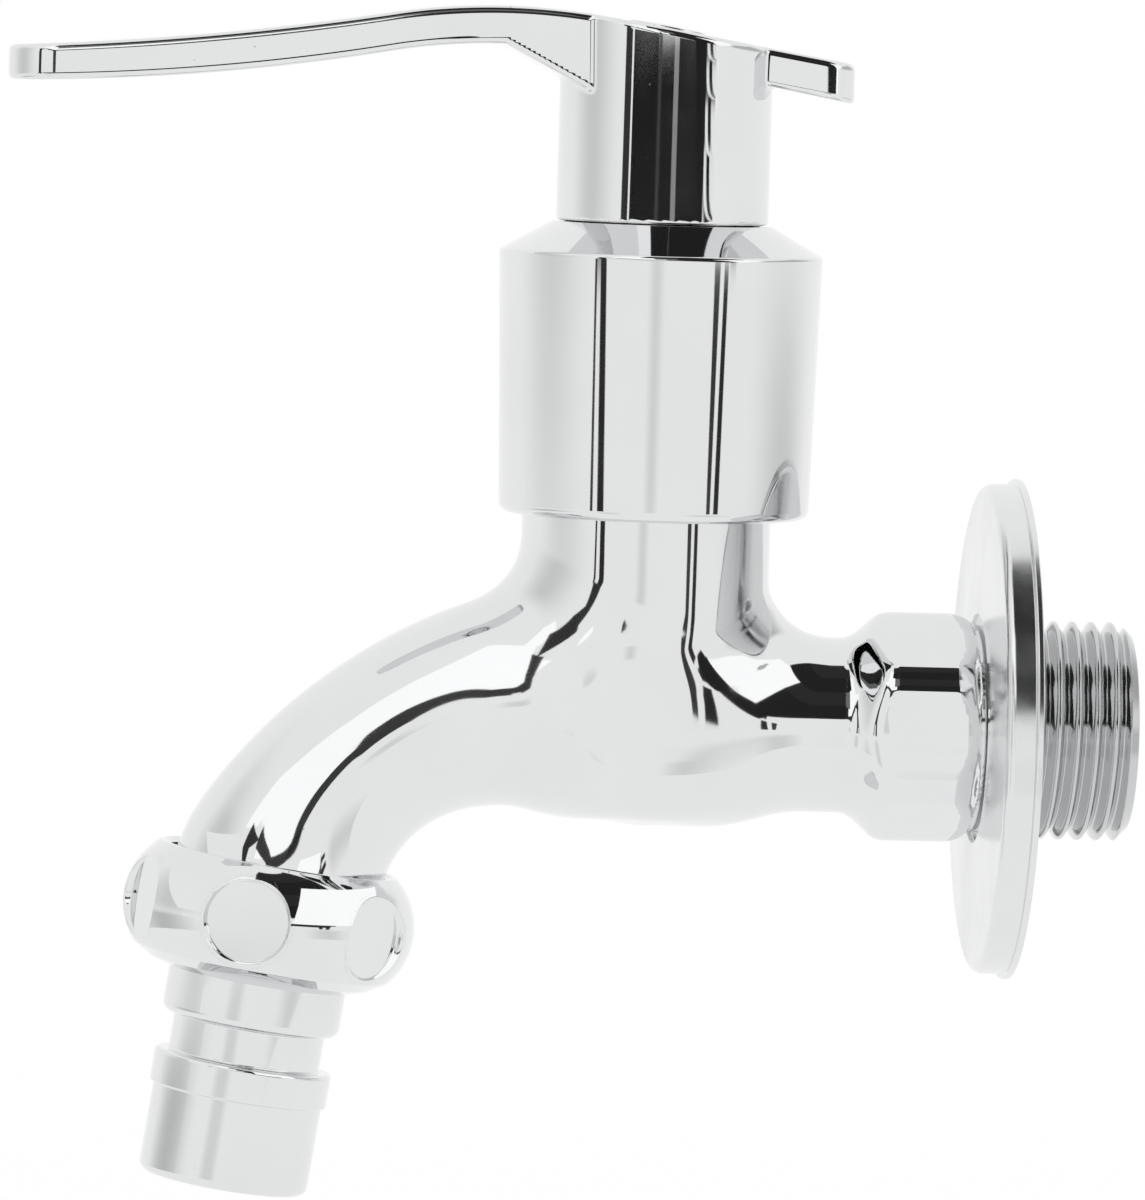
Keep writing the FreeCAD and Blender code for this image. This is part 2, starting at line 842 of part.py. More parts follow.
def make_fixed_disc():
    body = make_disc("fixed_disc", seal_top)
    for name, side in (("front_port", 1), ("back_port", -1)):
        points = [(as_size(x), as_size(y)) for x, y in quarter_turned(ports(side))]
        extruded(body, name, "XY_Plane", seal_top - s.slip_gap, fixed_top + s.slip_gap,
                 outline(points), cut=True)
    for name, side in (("left_notch", -1), ("right_notch", 1)):
        inner = (s.disc_r - s.key_depth) * side
        outer = (s.disc_r + s.key_depth) * side
        low, high = (inner, outer) if side > 0 else (outer, inner)
        extruded(body, name, "XY_Plane", seal_top - s.slip_gap, fixed_top + s.slip_gap,
                 outline(rectangle(low, high, -s.key_half_width, s.key_half_width)), cut=True)
    return body


def make_moving_disc():
    body = make_disc("moving_disc", fixed_top)
    extruded(body, "driving_slot", "XY_Plane", moving_top - s.slot_depth,
             moving_top + s.slip_gap, outline(rectangle(
                 -s.disc_r * 2, s.disc_r * 2, -s.slot_half_width, s.slot_half_width)), cut=True)
    for name, side in (("left_recess", -1), ("right_recess", 1)):
        extruded(body, name, "XY_Plane", fixed_top - s.slip_gap, fixed_top + s.recess_depth,
                 outline(ports(side)), cut=True)
    return body


def make_seat_seal():
    body = new_body("seat_seal", s.valve_reach)
    outer = housing_bore_r - s.slip_gap
    groove_floor = seal_top - s.stiffener_height - s.slip_gap
    turned(body, "turning", outline([
        (s.seal_inner_r, s.seat_rise),
        (outer, s.seat_rise),
        (outer, seal_top),
        (s.stiffener_outer_r + s.running_gap, seal_top),
        (s.stiffener_outer_r + s.running_gap, groove_floor),
        (s.stiffener_inner_r - s.running_gap, groove_floor),
        (s.stiffener_inner_r - s.running_gap, seal_top),
        (s.seal_inner_r, seal_top),
    ]))
    return body


def make_ring(name, inner, outer, low, high, reach=0, rise=0, tilt=0):
    body = new_body(name, reach, rise, tilt)
    turned(body, "turning", outline(rectangle(inner, outer, low, high)))
    return body


def make_spindle():
    body = new_body("spindle", s.valve_reach)
    stem = [(0, foot_bottom), (s.foot_disc_r, foot_bottom), (s.foot_disc_r, foot_top),
            (s.stem_r, foot_top)]
    for low in (s.lower_groove, s.lower_groove + s.groove_pitch):
        high = low + s.groove_width
        stem += [(s.stem_r, low), (s.groove_r, low), (s.groove_r, high), (s.stem_r, high)]
    clip_top = s.housing_top + s.clip_groove_width
    stem += [(s.stem_r, s.housing_top), (s.clip_groove_r, s.housing_top),
             (s.clip_groove_r, clip_top), (s.stem_r, clip_top),
             (s.stem_r, spindle_top), (0, spindle_top)]
    turned(body, "turning", outline(stem))
    extruded(body, "tang", "XY_Plane", foot_bottom - s.slot_depth + s.slip_gap * 2, foot_bottom,
             outline(rectangle(-s.tang_reach, s.tang_reach,
                               -s.tang_half_width, s.tang_half_width)))
    screw_depth = s.screw_length - s.hub_web + s.cut_margin / 2
    extruded(body, "screw_hole", "XY_Plane", spindle_top - screw_depth,
             spindle_top + s.slip_gap, circle(s.screw_r + s.thread_gap), cut=True)
    tooth = extruded(body, "spline_groove", "XY_Plane", spline_start,
                     spindle_top + s.slip_gap, outline([
                         (s.stem_r - s.spline_depth, 0),
                         (s.stem_r + s.slip_gap, -s.spline_depth - s.slip_gap),
                         (s.stem_r + s.slip_gap, s.spline_depth + s.slip_gap),
                     ]), cut=True)
    repeat_round(body, "spline", tooth, s.spline_teeth)
    return body


def make_spindle_o_rings():
    middle_r = s.groove_r + s.ring_wire_r + s.running_gap / 2
    rings = []
    for i in range(2):
        level = s.lower_groove + s.groove_pitch * i + s.groove_width / 2
        ring = new_part("Part::Torus", "stem_ring_%d" % (i + 1), Radius1=middle_r,
                        Radius2=s.ring_wire_r)
        bind(ring, "Placement.Base.x", -s.valve_reach)
        bind(ring, "Placement.Base.z", level)
        rings.append(ring)
    return group_of("spindle_o_rings", rings)


def make_spindle_clip():
    low = s.housing_top + s.running_gap
    body = make_ring("spindle_clip", s.clip_groove_r + s.running_gap, s.clip_outer_r,
                     low, low + s.clip_thickness, s.valve_reach)
    half = s.clip_mouth / 2
    extruded(body, "mouth", "XY_Plane", low - s.slip_gap, low + s.clip_thickness + s.slip_gap,
             outline(rectangle(0, s.clip_outer_r * 2, -half, half)), cut=True)
    return body


# Bonnet cover and the nut that holds it

def make_bonnet_cover():
    body = new_body("bonnet_cover", s.valve_reach)
    hole_r = s.neck_r + s.loose_gap
    turned(body, "turning", outline([
        (s.cover_bottom_r - s.cover_wall, s.cover_bottom),
        (s.cover_bottom_r, s.cover_bottom),
        (s.cover_shoulder_r, cover_shoulder),
        (s.cover_top_r, s.housing_top),
        (s.recess_r, s.housing_top),
        (s.recess_r, recess_floor),
        (hole_r, recess_floor),
        (hole_r, web_bottom),
        (s.cover_shoulder_r - s.cover_wall, web_bottom),
    ]))
    rounded(body, "rim", s.cover_rim_round, ring_at(s.cover_bottom_r, s.cover_bottom))
    return body


def make_cover_nut():
    body = new_body("cover_nut", s.valve_reach)
    top = recess_floor + s.cover_nut_height
    extruded(body, "blank", "XY_Plane", recess_floor, top,
             outline(hexagon(s.cover_nut_flats)))
    extruded(body, "thread", "XY_Plane", recess_floor - s.slip_gap, top + s.slip_gap,
             circle(s.neck_r + s.thread_gap), cut=True)
    half = s.cover_nut_flats / 2
    corner = s.cover_nut_flats / ROOT3
    turned(body, "corner_chamfer", outline([
        (half, top),
        (corner, top - (corner - half) / ROOT3),
        (corner, top),
    ]), cut=True)
    return body


# Handle

def make_lever_handle():
    body = new_body("lever_handle", s.valve_reach)
    extruded(body, "hub", "XY_Plane", hub_bottom, blank_height, circle(s.hub_r))

    thick = s.lever_thickness
    tip_bottom = tip_top[1] - s.tip_thickness
    rise_end_under = (rise_end[0] + thick * sine(rise_end_slope),
                      rise_end[1] - thick * cosine(rise_end_slope))
    under_radius = s.crest_radius - thick
    root_under = (rise_end_under[0] + under_radius * sine(rise_end_slope),
                  rise_end_under[1] + under_radius * (1 - cosine(rise_end_slope)))
    root_fall = -root_under[0] * sine(s.root_tilt) / cosine(s.root_tilt)
    extruded(body, "lever", "XZ_Plane", -s.lever_half_width, s.lever_half_width, outline([
        (-s.lever_tip_reach, blank_height),
        (-s.lever_tip_reach, tip_bottom),
        rise_end_under + (s.underside_radius, 1),
        root_under + (under_radius, -1),
        (0, root_under[1] - root_fall),
        (0, blank_height),
    ]))
    tip_x = (-s.lever_tip_reach).value
    rounded(body, "tip_corners", s.lever_tip_round, upright_at(tip_x))

    extruded(body, "tail", "XZ_Plane", -s.tail_half_width, s.tail_half_width, outline([
        (0, blank_height),
        (0, falling_top(as_size(0)) - s.tail_thickness),
        (s.tail_reach, falling_top(s.tail_reach) - s.tail_end_thickness),
        (s.tail_reach, blank_height),
    ]))
    rounded(body, "tail_corners", s.tail_end_round, upright_at(s.tail_reach.value))

    left = -s.lever_tip_reach - s.cut_margin
    right = s.tail_reach + s.cut_margin
    above = blank_height + s.cut_margin
    start_drop = s.cut_margin * sine(s.tip_tilt) / cosine(s.tip_tilt)
    extruded(body, "top", "XZ_Plane", -s.hub_r - s.cut_margin, s.hub_r + s.cut_margin, outline([
        (left, above),
        (left, tip_height - start_drop),
        tip_top,
        rise_end + (s.rise_radius, 1),
        crest_end + (s.crest_radius, -1),
        (right, falling_top(right)),
        (right, above),
    ]), cut=True)
    rounded(body, "top_edges", s.top_edge_round, is_top_edge)

    socket_r = s.stem_r + s.slip_gap
    head_hole_r = s.screw_head_r + s.slip_gap
    turned(body, "hub_bores", outline([
        (0, hub_bottom - s.slip_gap),
        (s.hub_cavity_r, hub_bottom - s.slip_gap),
        (s.hub_cavity_r, cavity_top),
        (socket_r, cavity_top),
        (socket_r, socket_top),
        (s.screw_r + s.slip_gap, socket_top),
        (s.screw_r + s.slip_gap, screw_seat),
        (head_hole_r, screw_seat),
        (head_hole_r, cap_floor + s.cap_proud),
        (0, cap_floor + s.cap_proud),
    ]), cut=True)
    turned(body, "cap_seat", outline([
        (0, -s.cap_depth),
        (s.cap_r + s.slip_gap, -s.cap_depth),
        (s.cap_r + s.slip_gap, s.cut_margin),
        (0, s.cut_margin),
    ]), cut=True, offset=(0, handle_top, 0), turn=(Z_DIRECTION, -fall_slope))
    return body


def upright_at(x):
    """Picks the upright edges whose points all lie at x."""
    def wanted(edge):
        box = edge.BoundBox
        return abs(box.XMin - x) < 1e-4 and abs(box.XMax - x) < 1e-4 and box.YLength < 1e-4
    return wanted


def top_height(x):
    """Height of the handle's top at x, as a number."""
    if x > crest_end[0].value:
        return falling_top(as_size(x)).value
    if x > rise_end[0].value:
        centre_x = rise_end[0] + s.crest_radius * sine(rise_end_slope)
        centre_z = rise_end[1] - s.crest_radius * cosine(rise_end_slope)
        return centre_z.value + math.sqrt(s.crest_radius.value ** 2 - (x - centre_x.value) ** 2)
    centre_x = tip_top[0] - s.rise_radius * sine(s.tip_tilt)
    centre_z = tip_top[1] + s.rise_radius * cosine(s.tip_tilt)
    return centre_z.value - math.sqrt(s.rise_radius.value ** 2 - (x - centre_x.value) ** 2)


def is_top_edge(edge):
    """True for the top edges of the lever and the tail, not for the hub's rim or the seams across."""
    points = edge.discretize(4)
    if any(abs(point.z - top_height(point.x)) > 1e-2 for point in points):
        return False
    if math.hypot(points[1].x, points[1].y) < s.hub_r.value + 1e-2:
        return False
    at_tip = edge.BoundBox.XMax < -s.lever_tip_reach.value + 1e-3
    return at_tip or points[0].y * points[-1].y > 0


def make_handle_screw():
    body = new_body("handle_screw", s.valve_reach)
    head_top = screw_seat + s.screw_head_height
    turned(body, "turning", outline([
        (0, screw_seat - s.screw_length),
        (s.screw_r, screw_seat - s.screw_length),
        (s.screw_r, screw_seat),
        (s.screw_head_r, screw_seat),
        (s.screw_head_r, head_top),
        (0, head_top),
    ]))
    extruded(body, "key_recess", "XY_Plane", head_top - s.screw_recess_depth,
             head_top + s.slip_gap, outline(hexagon(s.screw_recess_r * 2)), cut=True)
    return body


def make_handle_cap():
    body = new_body("handle_cap", s.valve_reach, handle_top, fall_slope)
    dome_rise = s.cap_proud - s.cap_side_proud
    dome_radius = (s.cap_r * s.cap_r + dome_rise * dome_rise) / (dome_rise * 2)
    turned(body, "turning", outline([
        (0, -s.cap_depth),
        (s.cap_r, -s.cap_depth),
        (s.cap_r, s.cap_side_proud),
        (0, s.cap_proud, dome_radius, 1),
    ]))
    return body


# Wall flange

def make_wall_flange():
    body = new_body("wall_flange")
    bore = s.inlet_thread_r + s.loose_gap * 3
    rim_r = s.flange_r - s.flange_lip
    corner_r = rim_r - s.flange_draft - s.flange_corner
    face = -s.flange_depth
    inner_corner = s.flange_corner - s.flange_sheet
    turned(body, "turning", outline([
        (face - s.flange_dome, bore),
        (face - s.flange_dome + s.flange_sheet, bore),
        (face + s.flange_sheet, corner_r, s.flange_dome_r, 1),
        (face + s.flange_corner, corner_r + inner_corner, inner_corner, 1),
        (-s.flange_lip_width, rim_r - s.flange_sheet),
        (0, rim_r),
        (0, s.flange_r),
        (-s.flange_lip_width, s.flange_r),
        (-s.flange_lip_width, rim_r),
        (face + s.flange_corner, rim_r - s.flange_draft),
        (face, corner_r, s.flange_corner, -1),
    ]), "H_Axis")
    return body


# Outlet nut, nozzle and gasket

def make_outlet_nut():
    body = new_body("outlet_nut", outlet_reach, -s.outlet_drop, s.outlet_tilt,
                    -s.dimple_angle)
    bore = s.outlet_thread_r + s.thread_gap
    turned(body, "turning", outline([
        (s.nut_hole_r, -s.nut_bottom),
        (s.nut_foot_r, -s.nut_foot_drop),
        (s.nut_shoulder_r, -s.nut_shoulder_drop),
        (s.nut_top_r, s.nut_top, s.nut_side_round, 1),
        (s.nut_mouth_r, s.nut_top),
        (bore, s.nut_top - s.nut_mouth_depth),
        (bore, nut_ledge),
        (s.nut_hole_r, nut_ledge),
    ]))
    dimple = extruded(body, "dimple", "XZ_Plane", s.dimple_floor,
                      s.dimple_floor + s.dimple_clear, circle(s.dimple_r), cut=True)
    repeat_round(body, "dimples", dimple, s.dimple_count)
    return body


def make_hose_nozzle():
    body = new_body("hose_nozzle", outlet_reach, -s.outlet_drop, s.outlet_tilt)
    turned(body, "turning", outline([
        (s.nozzle_bore_r, nozzle_flange_top),
        (s.nozzle_bore_r, nozzle_end),
        (s.nozzle_tube_r, nozzle_end),
        (s.nozzle_tube_r, nozzle_tube_top),
        (s.nozzle_body_r, nozzle_tube_top),
        (s.nozzle_body_r, nozzle_ring_top),
        (s.nozzle_neck_r, nozzle_ring_top),
        (s.nozzle_neck_r, nozzle_neck_top),
        (s.nozzle_body_r, nozzle_neck_top),
        (s.nozzle_body_r, nozzle_flange_bottom),
        (s.nozzle_flange_r, nozzle_flange_bottom),
        (s.nozzle_flange_r, nozzle_flange_top),
    ]))
    rims = [ring_at(s.nozzle_tube_r, nozzle_end), ring_at(s.nozzle_body_r, nozzle_neck_top),
            ring_at(s.nozzle_body_r, nozzle_ring_top)]
    rounded(body, "rims", s.nozzle_edge_round, lambda edge: any(rim(edge) for rim in rims))
    return body


def make_nozzle_gasket():
    return make_ring("nozzle_gasket", s.nozzle_bore_r, s.gasket_r, nozzle_flange_top, as_size(0),
                     outlet_reach, -s.outlet_drop, s.outlet_tilt)


nodes = [
    make_tap_body(),
    make_head_o_ring(),
    make_headwork_housing(),
    make_fixed_disc(),
    make_moving_disc(),
    make_seat_seal(),
    make_ring("seal_stiffener", s.stiffener_inner_r, s.stiffener_outer_r,
              seal_top - s.stiffener_height, seal_top, s.valve_reach),
    make_spindle(),
    make_spindle_o_rings(),
    make_spindle_clip(),
    make_ring("slip_washer", s.stem_r + s.slip_gap, s.foot_disc_r, washer_bottom, washer_top,
              s.valve_reach),
    make_bonnet_cover(),
    make_cover_nut(),
    make_lever_handle(),
    make_handle_screw(),
    make_handle_cap(),
    make_wall_flange(),
    make_outlet_nut(),
    make_hose_nozzle(),
    make_nozzle_gasket(),
]
doc.recompute()

failed = [obj.Name for obj in doc.Objects if "Invalid" in obj.State or "Error" in obj.State]
if failed:
    raise RuntimeError("these did not build: " + ", ".join(failed))
for node in nodes:
    if node.Shape.isNull() or not node.Shape.isValid():
        raise RuntimeError(node.Label + " has no valid shape")

os.makedirs("parts", exist_ok=True)
for node in nodes:
    node.Shape.exportStep(os.path.join("parts", node.Label + ".step"))
    print("%-18s %d solid %9.1f mm3" % (node.Label, len(node.Shape.Solids), node.Shape.Volume))
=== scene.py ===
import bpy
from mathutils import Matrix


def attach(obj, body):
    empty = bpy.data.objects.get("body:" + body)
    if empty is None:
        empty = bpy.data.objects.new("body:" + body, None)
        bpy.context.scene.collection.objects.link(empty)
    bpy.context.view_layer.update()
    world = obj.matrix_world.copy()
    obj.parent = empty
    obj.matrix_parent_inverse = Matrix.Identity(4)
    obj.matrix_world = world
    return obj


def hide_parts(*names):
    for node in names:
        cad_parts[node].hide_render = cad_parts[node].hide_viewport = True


bl_info = {
    "name": "Washing machine tap",
    "version": (1, 0, 0),
    "blender": (4, 5, 0),
    "location": "View3D > Sidebar > Tap",
    "description": "Builds a washing machine tap on its packed frame",
    "category": "Add Mesh",
}

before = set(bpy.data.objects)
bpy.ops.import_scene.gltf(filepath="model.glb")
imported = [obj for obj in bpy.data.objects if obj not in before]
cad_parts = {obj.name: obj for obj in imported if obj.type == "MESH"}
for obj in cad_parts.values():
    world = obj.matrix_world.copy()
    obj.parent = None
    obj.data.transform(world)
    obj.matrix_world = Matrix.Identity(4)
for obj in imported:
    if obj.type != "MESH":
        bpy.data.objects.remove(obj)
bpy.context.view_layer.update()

import math

import bpy
import numpy as np
from bpy.props import FloatProperty, FloatVectorProperty, PointerProperty
from mathutils import Matrix, Vector

MM = 0.001


# Sizes and colours, in metres

def length(name, description, default):
    return FloatProperty(name=name, description=description, default=default, min=0.0,
                         precision=5, subtype="DISTANCE", unit="LENGTH")


def tint(name, description, default):
    return FloatVectorProperty(name=name, description=description, default=default, size=4,
                               min=0.0, max=1.0, subtype="COLOR")


def fraction(name, description, default):
    return FloatProperty(name=name, description=description, default=default, min=0.0, max=2.0,
                         subtype="FACTOR")


class TapBodySizes(bpy.types.PropertyGroup):
    barrel_radius: length("Barrel radius", "Radius of the upright barrel", 0.01185)
    belly_drop: length("Belly drop", "Bottom of the barrel below the arm's axis", 0.009)
    belly_round: length("Belly round", "Rounding under the barrel", 0.0062)
    arm_radius: length("Arm radius", "Radius of the arm between barrel and hexagon", 0.00835)
    arm_blend: length("Arm blend", "Blend from the arm into the barrel", 0.0068)
    spout_blend: length("Spout blend", "Blend from the spout into the barrel", 0.0056)
    hexagon_flats: length("Hexagon", "Hexagon across its flats", 0.02)
    hexagon_round: length("Hexagon corners", "Rounding of the hexagon's polished corners", 0.0021)
    thread_pitch: length("Thread pitch", "Pitch of the pipe thread", 0.001814)
    thread_depth: length("Thread depth", "Depth of the pipe thread", 0.001)


class TapTrimSizes(bpy.types.PropertyGroup):
    cover_wall: length("Cover wall", "Wall of the bonnet cover", 0.0013)
    cover_rim: length("Cover rim", "Rounding of the cover's lower rim", 0.001)
    handle_edge: length("Handle edge", "Rounding of the handle's long edges", 0.0006)
    dimple_radius: length("Dimple radius", "Radius of each round flat on the outlet nut", 0.0042)
    nozzle_edge: length("Nozzle edge", "Rounding of the nozzle's rims", 0.0009)
    flange_corner: length("Flange corner", "Rounding between the flange's face and side", 0.0009)


class TapFinish(bpy.types.PropertyGroup):
    chrome: tint("Chrome", "Colour of the bright plating", (0.776, 0.781, 0.786, 1.0))
    # The threads get a darker plating colour than the body's chrome: painted shade standing for the shade
    # in the thread's roots.
    thread_chrome_painted_shade: tint("Thread chrome with painted shade", "Colour of the thread's plating", (0.60, 0.605, 0.61, 1.0))
    haze: fraction("Haze", "Roughness of the polished plating", 0.035)
    brass: tint("Brass", "Colour of bare brass", (0.63, 0.46, 0.22, 1.0))
    rubber: tint("Rubber", "Colour of the seals", (0.025, 0.025, 0.027, 1.0))
    ceramic: tint("Ceramic", "Colour of the discs", (0.86, 0.85, 0.82, 1.0))


class TapStageLook(bpy.types.PropertyGroup):
    surround: fraction("Surround", "Level of the light from the pale surround", 0.97)
    softbox: fraction("Softbox", "Level of the soft boxes in reflections", 1.24)
    floor: tint("Floor", "Colour of the floor", (0.90, 0.90, 0.90, 1.0))


# Fields: signed distances in millimetres, below zero inside

def soft_max(a, b, radius, power=2.0):
    """The larger of two distances, with a rounded edge where they meet."""
    u = np.maximum(a / radius + 1.0, 0.0)
    v = np.maximum(b / radius + 1.0, 0.0)
    edge = radius * ((u ** power + v ** power) ** (1.0 / power) - 1.0)
    return np.where((u > 0) & (v > 0), edge, np.maximum(a, b))


def soft_min(a, b, radius, power=2.0):
    """The smaller of two distances, with a filled corner where they meet."""
    return -soft_max(-a, -b, radius, power)


def smooth_step(value, low, high):
    t = np.clip((value - low) / (high - low), 0.0, 1.0)
    return t * t * (3.0 - 2.0 * t)


class SmoothCurve:
    """A natural cubic spline through rows of numbers, with its own closest point search."""

    def __init__(self, rows):
        rows = np.array(rows, float)
        steps = np.linalg.norm(np.diff(rows[:, :2], axis=0), axis=1)
        knots = np.concatenate([[0.0], np.cumsum(steps)])
        count = len(rows)
        system = np.eye(count)
        right = np.zeros_like(rows)
        for i in range(1, count - 1):
            before, after = knots[i] - knots[i - 1], knots[i + 1] - knots[i]
            system[i, i - 1:i + 2] = before, 2.0 * (before + after), after
            right[i] = 6.0 * ((rows[i + 1] - rows[i]) / after - (rows[i] - rows[i - 1]) / before)
        self.rows, self.knots, self.bends = rows, knots, np.linalg.solve(system, right)
        self.marks = np.linspace(0.0, knots[-1], 60)
        self.places = self.at(self.marks)[0]

    def at(self, t):
        """Value, first and second derivative at t."""
        i = np.clip(np.searchsorted(self.knots, t, side="right") - 1, 0, len(self.knots) - 2)
        h = (self.knots[i + 1] - self.knots[i])[:, None]
        a = (self.knots[i + 1] - t)[:, None]
        b = (t - self.knots[i])[:, None]
        y0, y1, m0, m1 = self.rows[i], self.rows[i + 1], self.bends[i], self.bends[i + 1]
        value = (m0 * a ** 3 + m1 * b ** 3) / (6 * h)
        value = value + (y0 / h - m0 * h / 6) * a + (y1 / h - m1 * h / 6) * b
        first = (m1 * b ** 2 - m0 * a ** 2) / (2 * h) + (y1 - y0) / h - (m1 - m0) * h / 6
        second = (m0 * a + m1 * b) / h
        return value, first, second

    def tube(self, points):
        """Distance from the tube whose third number is its radius. The curve lies in the upright plane."""
        flat = points[:, [0, 2]]
        away = ((flat[:, None, :] - self.places[None, :, :2]) ** 2).sum(-1)
        t = self.marks[away.argmin(1)]
        for _ in range(4):
            value, first, second = self.at(t)
            gap = flat - value[:, :2]
            bend = (first[:, :2] ** 2).sum(1) - (gap * second[:, :2]).sum(1)
            move = (gap * first[:, :2]).sum(1) / np.maximum(bend, 0.2)
            t = np.clip(t + np.clip(move, -1.0, 1.0), 0.0, self.knots[-1])
        value = self.at(t)[0]
        return np.sqrt(((flat - value[:, :2]) ** 2).sum(1) + points[:, 1] ** 2) - value[:, 2]


def in_parts(field, points, size=150000):
    return np.concatenate([field(points[i:i + size]) for i in range(0, len(points), size)])


def slope_of(field, points, reach=2e-3):
    """Direction in which the field grows fastest."""
    out = np.empty_like(points)
    for axis in range(3):
        step = np.zeros(3)
        step[axis] = reach
        out[:, axis] = (in_parts(field, points + step) - in_parts(field, points - step)) / (2 * reach)
    return out


def settle(field, points, rounds, most):
    """Moves points onto the field's zero level."""
    for _ in range(rounds):
        slope = slope_of(field, points)
        step = slope * (in_parts(field, points) / np.maximum((slope ** 2).sum(1), 1e-6))[:, None]
        size = np.linalg.norm(step, axis=1, keepdims=True)
        points = points - step * np.minimum(1.0, most / np.maximum(size, 1e-9))
    return points


def skin_of(field, low, high, step, warp=None):
    """Closed mesh of four-sided faces on the field's zero level: points, faces and normals.

    A warp moves the points of the grid, so that its rows can follow a curved edge.
    """
    axes = [np.arange(a, b + step, step) for a, b in zip(low, high)]
    grid = np.stack(np.meshgrid(*axes, indexing="ij"), -1)
    shape = grid.shape[:3]
    grid = grid.reshape(-1, 3)
    value = in_parts(field, warp(grid) if warp else grid).reshape(shape)
    inside = value < 0

    def cells(array, corner):
        return array[tuple(slice(c, array.shape[i] - 1 + c) for i, c in enumerate(corner))]

    corners = [(i, j, k) for i in (0, 1) for j in (0, 1) for k in (0, 1)]
    count = sum(cells(inside, c).astype(np.int8) for c in corners)
    active = (count > 0) & (count < 8)
    number = np.full(active.shape, -1)
    number[active] = np.arange(active.sum())
    total, hits = np.zeros((active.sum(), 3)), np.zeros(active.sum())
    for start in corners:
        for axis in range(3):
            if start[axis]:
                continue
            end = tuple(1 if i == axis else c for i, c in enumerate(start))
            v0, v1 = cells(value, start)[active], cells(value, end)[active]
            cross = (v0 < 0) != (v1 < 0)
            place = np.tile(np.array(start, float), (len(v0), 1))
            place[cross, axis] = v0[cross] / (v0[cross] - v1[cross])
            total[cross] += place[cross]
            hits += cross
    points = np.array(low) + (np.argwhere(active) + total / hits[:, None]) * step
    if warp:
        points = warp(points)

    faces = []
    for axis in range(3):
        one, two = [i for i in range(3) if i != axis]
        shift = [0, 0, 0]
        shift[axis] = 1
        start = inside[tuple(slice(0, n - s) for n, s in zip(inside.shape, shift))]
        end = inside[tuple(slice(s, n) for n, s in zip(inside.shape, shift))]
        for entering in (False, True):
            spots = np.argwhere((start != end) & (start == entering))
            ring = []
            for a, b in ((0, 0), (1, 0), (1, 1), (0, 1)):
                cell = spots.copy()
                cell[:, one] -= a
                cell[:, two] -= b
                ring.append(number[tuple(cell.T)])
            ring = np.stack(ring, 1)
            flip = entering != (axis == 1)
            faces.append(ring if flip else ring[:, ::-1])
    faces = np.concatenate(faces)

    ends = np.concatenate([faces[:, [i, (i + 1) % 4]] for i in range(4)])
    links = np.bincount(ends[:, 0], minlength=len(points))[:, None]
    points = settle(field, points, 3, step)
    for _ in range(3):
        near = np.zeros_like(points)
        np.add.at(near, ends[:, 0], points[ends[:, 1]])
        points = settle(field, 0.5 * points + 0.5 * near / links, 2, step)
    points = settle(field, points, 4, step)
    normals = slope_of(field, points)
    normals /= np.linalg.norm(normals, axis=1, keepdims=True)
    return points, faces, normals


# Meshes from outlines

def rounded_outline(corners):
    """Points and outward normals of a closed outline. A corner is (radius, height, rounding)."""
    corners = np.array(corners, float)
    turn = sum(a[0] * b[1] - b[0] * a[1] for a, b in zip(corners, np.roll(corners, -1, 0)))
    if turn < 0:
        corners = corners[::-1]
    places, normals = [], []
    count = len(corners)
    for i in range(count):
        here, rounding = corners[i, :2], corners[i, 2]
        back = corners[i - 1, :2] - here
        ahead = corners[(i + 1) % count, :2] - here
        back, ahead = back / np.linalg.norm(back), ahead / np.linalg.norm(ahead)
        first, last = np.array([-back[1], back[0]]), np.array([ahead[1], -ahead[0]])
        angle = math.atan2(first[0] * last[1] - first[1] * last[0], first @ last)
        trim = rounding * abs(math.tan(angle / 2))
        side = 1.0 if angle > 0 else -1.0
        centre = here + back * trim - first * rounding * side
        segments = min(max(math.ceil(rounding * abs(angle) / 0.2), 4), 60)
        for step in range(segments + 1):
            turned = angle * step / segments
            normal = first * math.cos(turned) + np.array([-first[1], first[0]]) * math.sin(turned)
            places.append(centre + normal * rounding * side)
            normals.append(normal)
    return np.array(places), np.array(normals)


def grid_faces(rows, columns):
    """Faces of a grid that closes on itself both ways."""
    i, j = np.meshgrid(np.arange(rows), np.arange(columns), indexing="ij")
    up, on = (i + 1) % rows, (j + 1) % columns
    return np.stack([i * columns + j, i * columns + on, up * columns + on, up * columns + j],
                    -1).reshape(-1, 4)


def lathe(outline, columns):
    """Points, faces and normals of an outline turned about the upright axis."""
    places, normals = outline
    angles = np.linspace(0.0, 2 * math.pi, columns, endpoint=False)
    circle = np.stack([np.cos(angles), np.sin(angles)], -1)

    def turned(rows):
        ring = rows[:, None, :1] * circle[None]
        level = np.broadcast_to(rows[:, None, 1:], ring.shape[:2] + (1,))
        return np.concatenate([ring, level], -1).reshape(-1, 3)

    return turned(places), grid_faces(len(places), columns), turned(normals)


def place(points, normals, matrix):
    """Points and normals moved by a matrix, in millimetres."""
    turn, shift = np.array(matrix.to_3x3()), np.array(matrix.translation)
    return points @ turn.T + shift, normals @ turn.T


def new_object(name, data):
    made = bpy.data.objects.new(name, data)
    bpy.context.scene.collection.objects.link(made)
    return made


def add_piece(name, points, faces, normals, body, finish, slot, *nodes):
    """A new piece in the frame that rides on a body and stands for the named nodes."""
    mesh = bpy.data.meshes.new(name)
    mesh.from_pydata((points * MM).tolist(), [], faces.tolist())
    mesh.polygons.foreach_set("use_smooth", [True] * len(mesh.polygons))
    mesh.validate()
    mesh.update()
    if normals is not None:
        mesh.normals_split_custom_set_from_vertices(normals.tolist())
    mesh.materials.append(finish)
    piece = new_object(name, mesh)
    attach(piece, body)
    if nodes:
        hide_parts(*nodes)


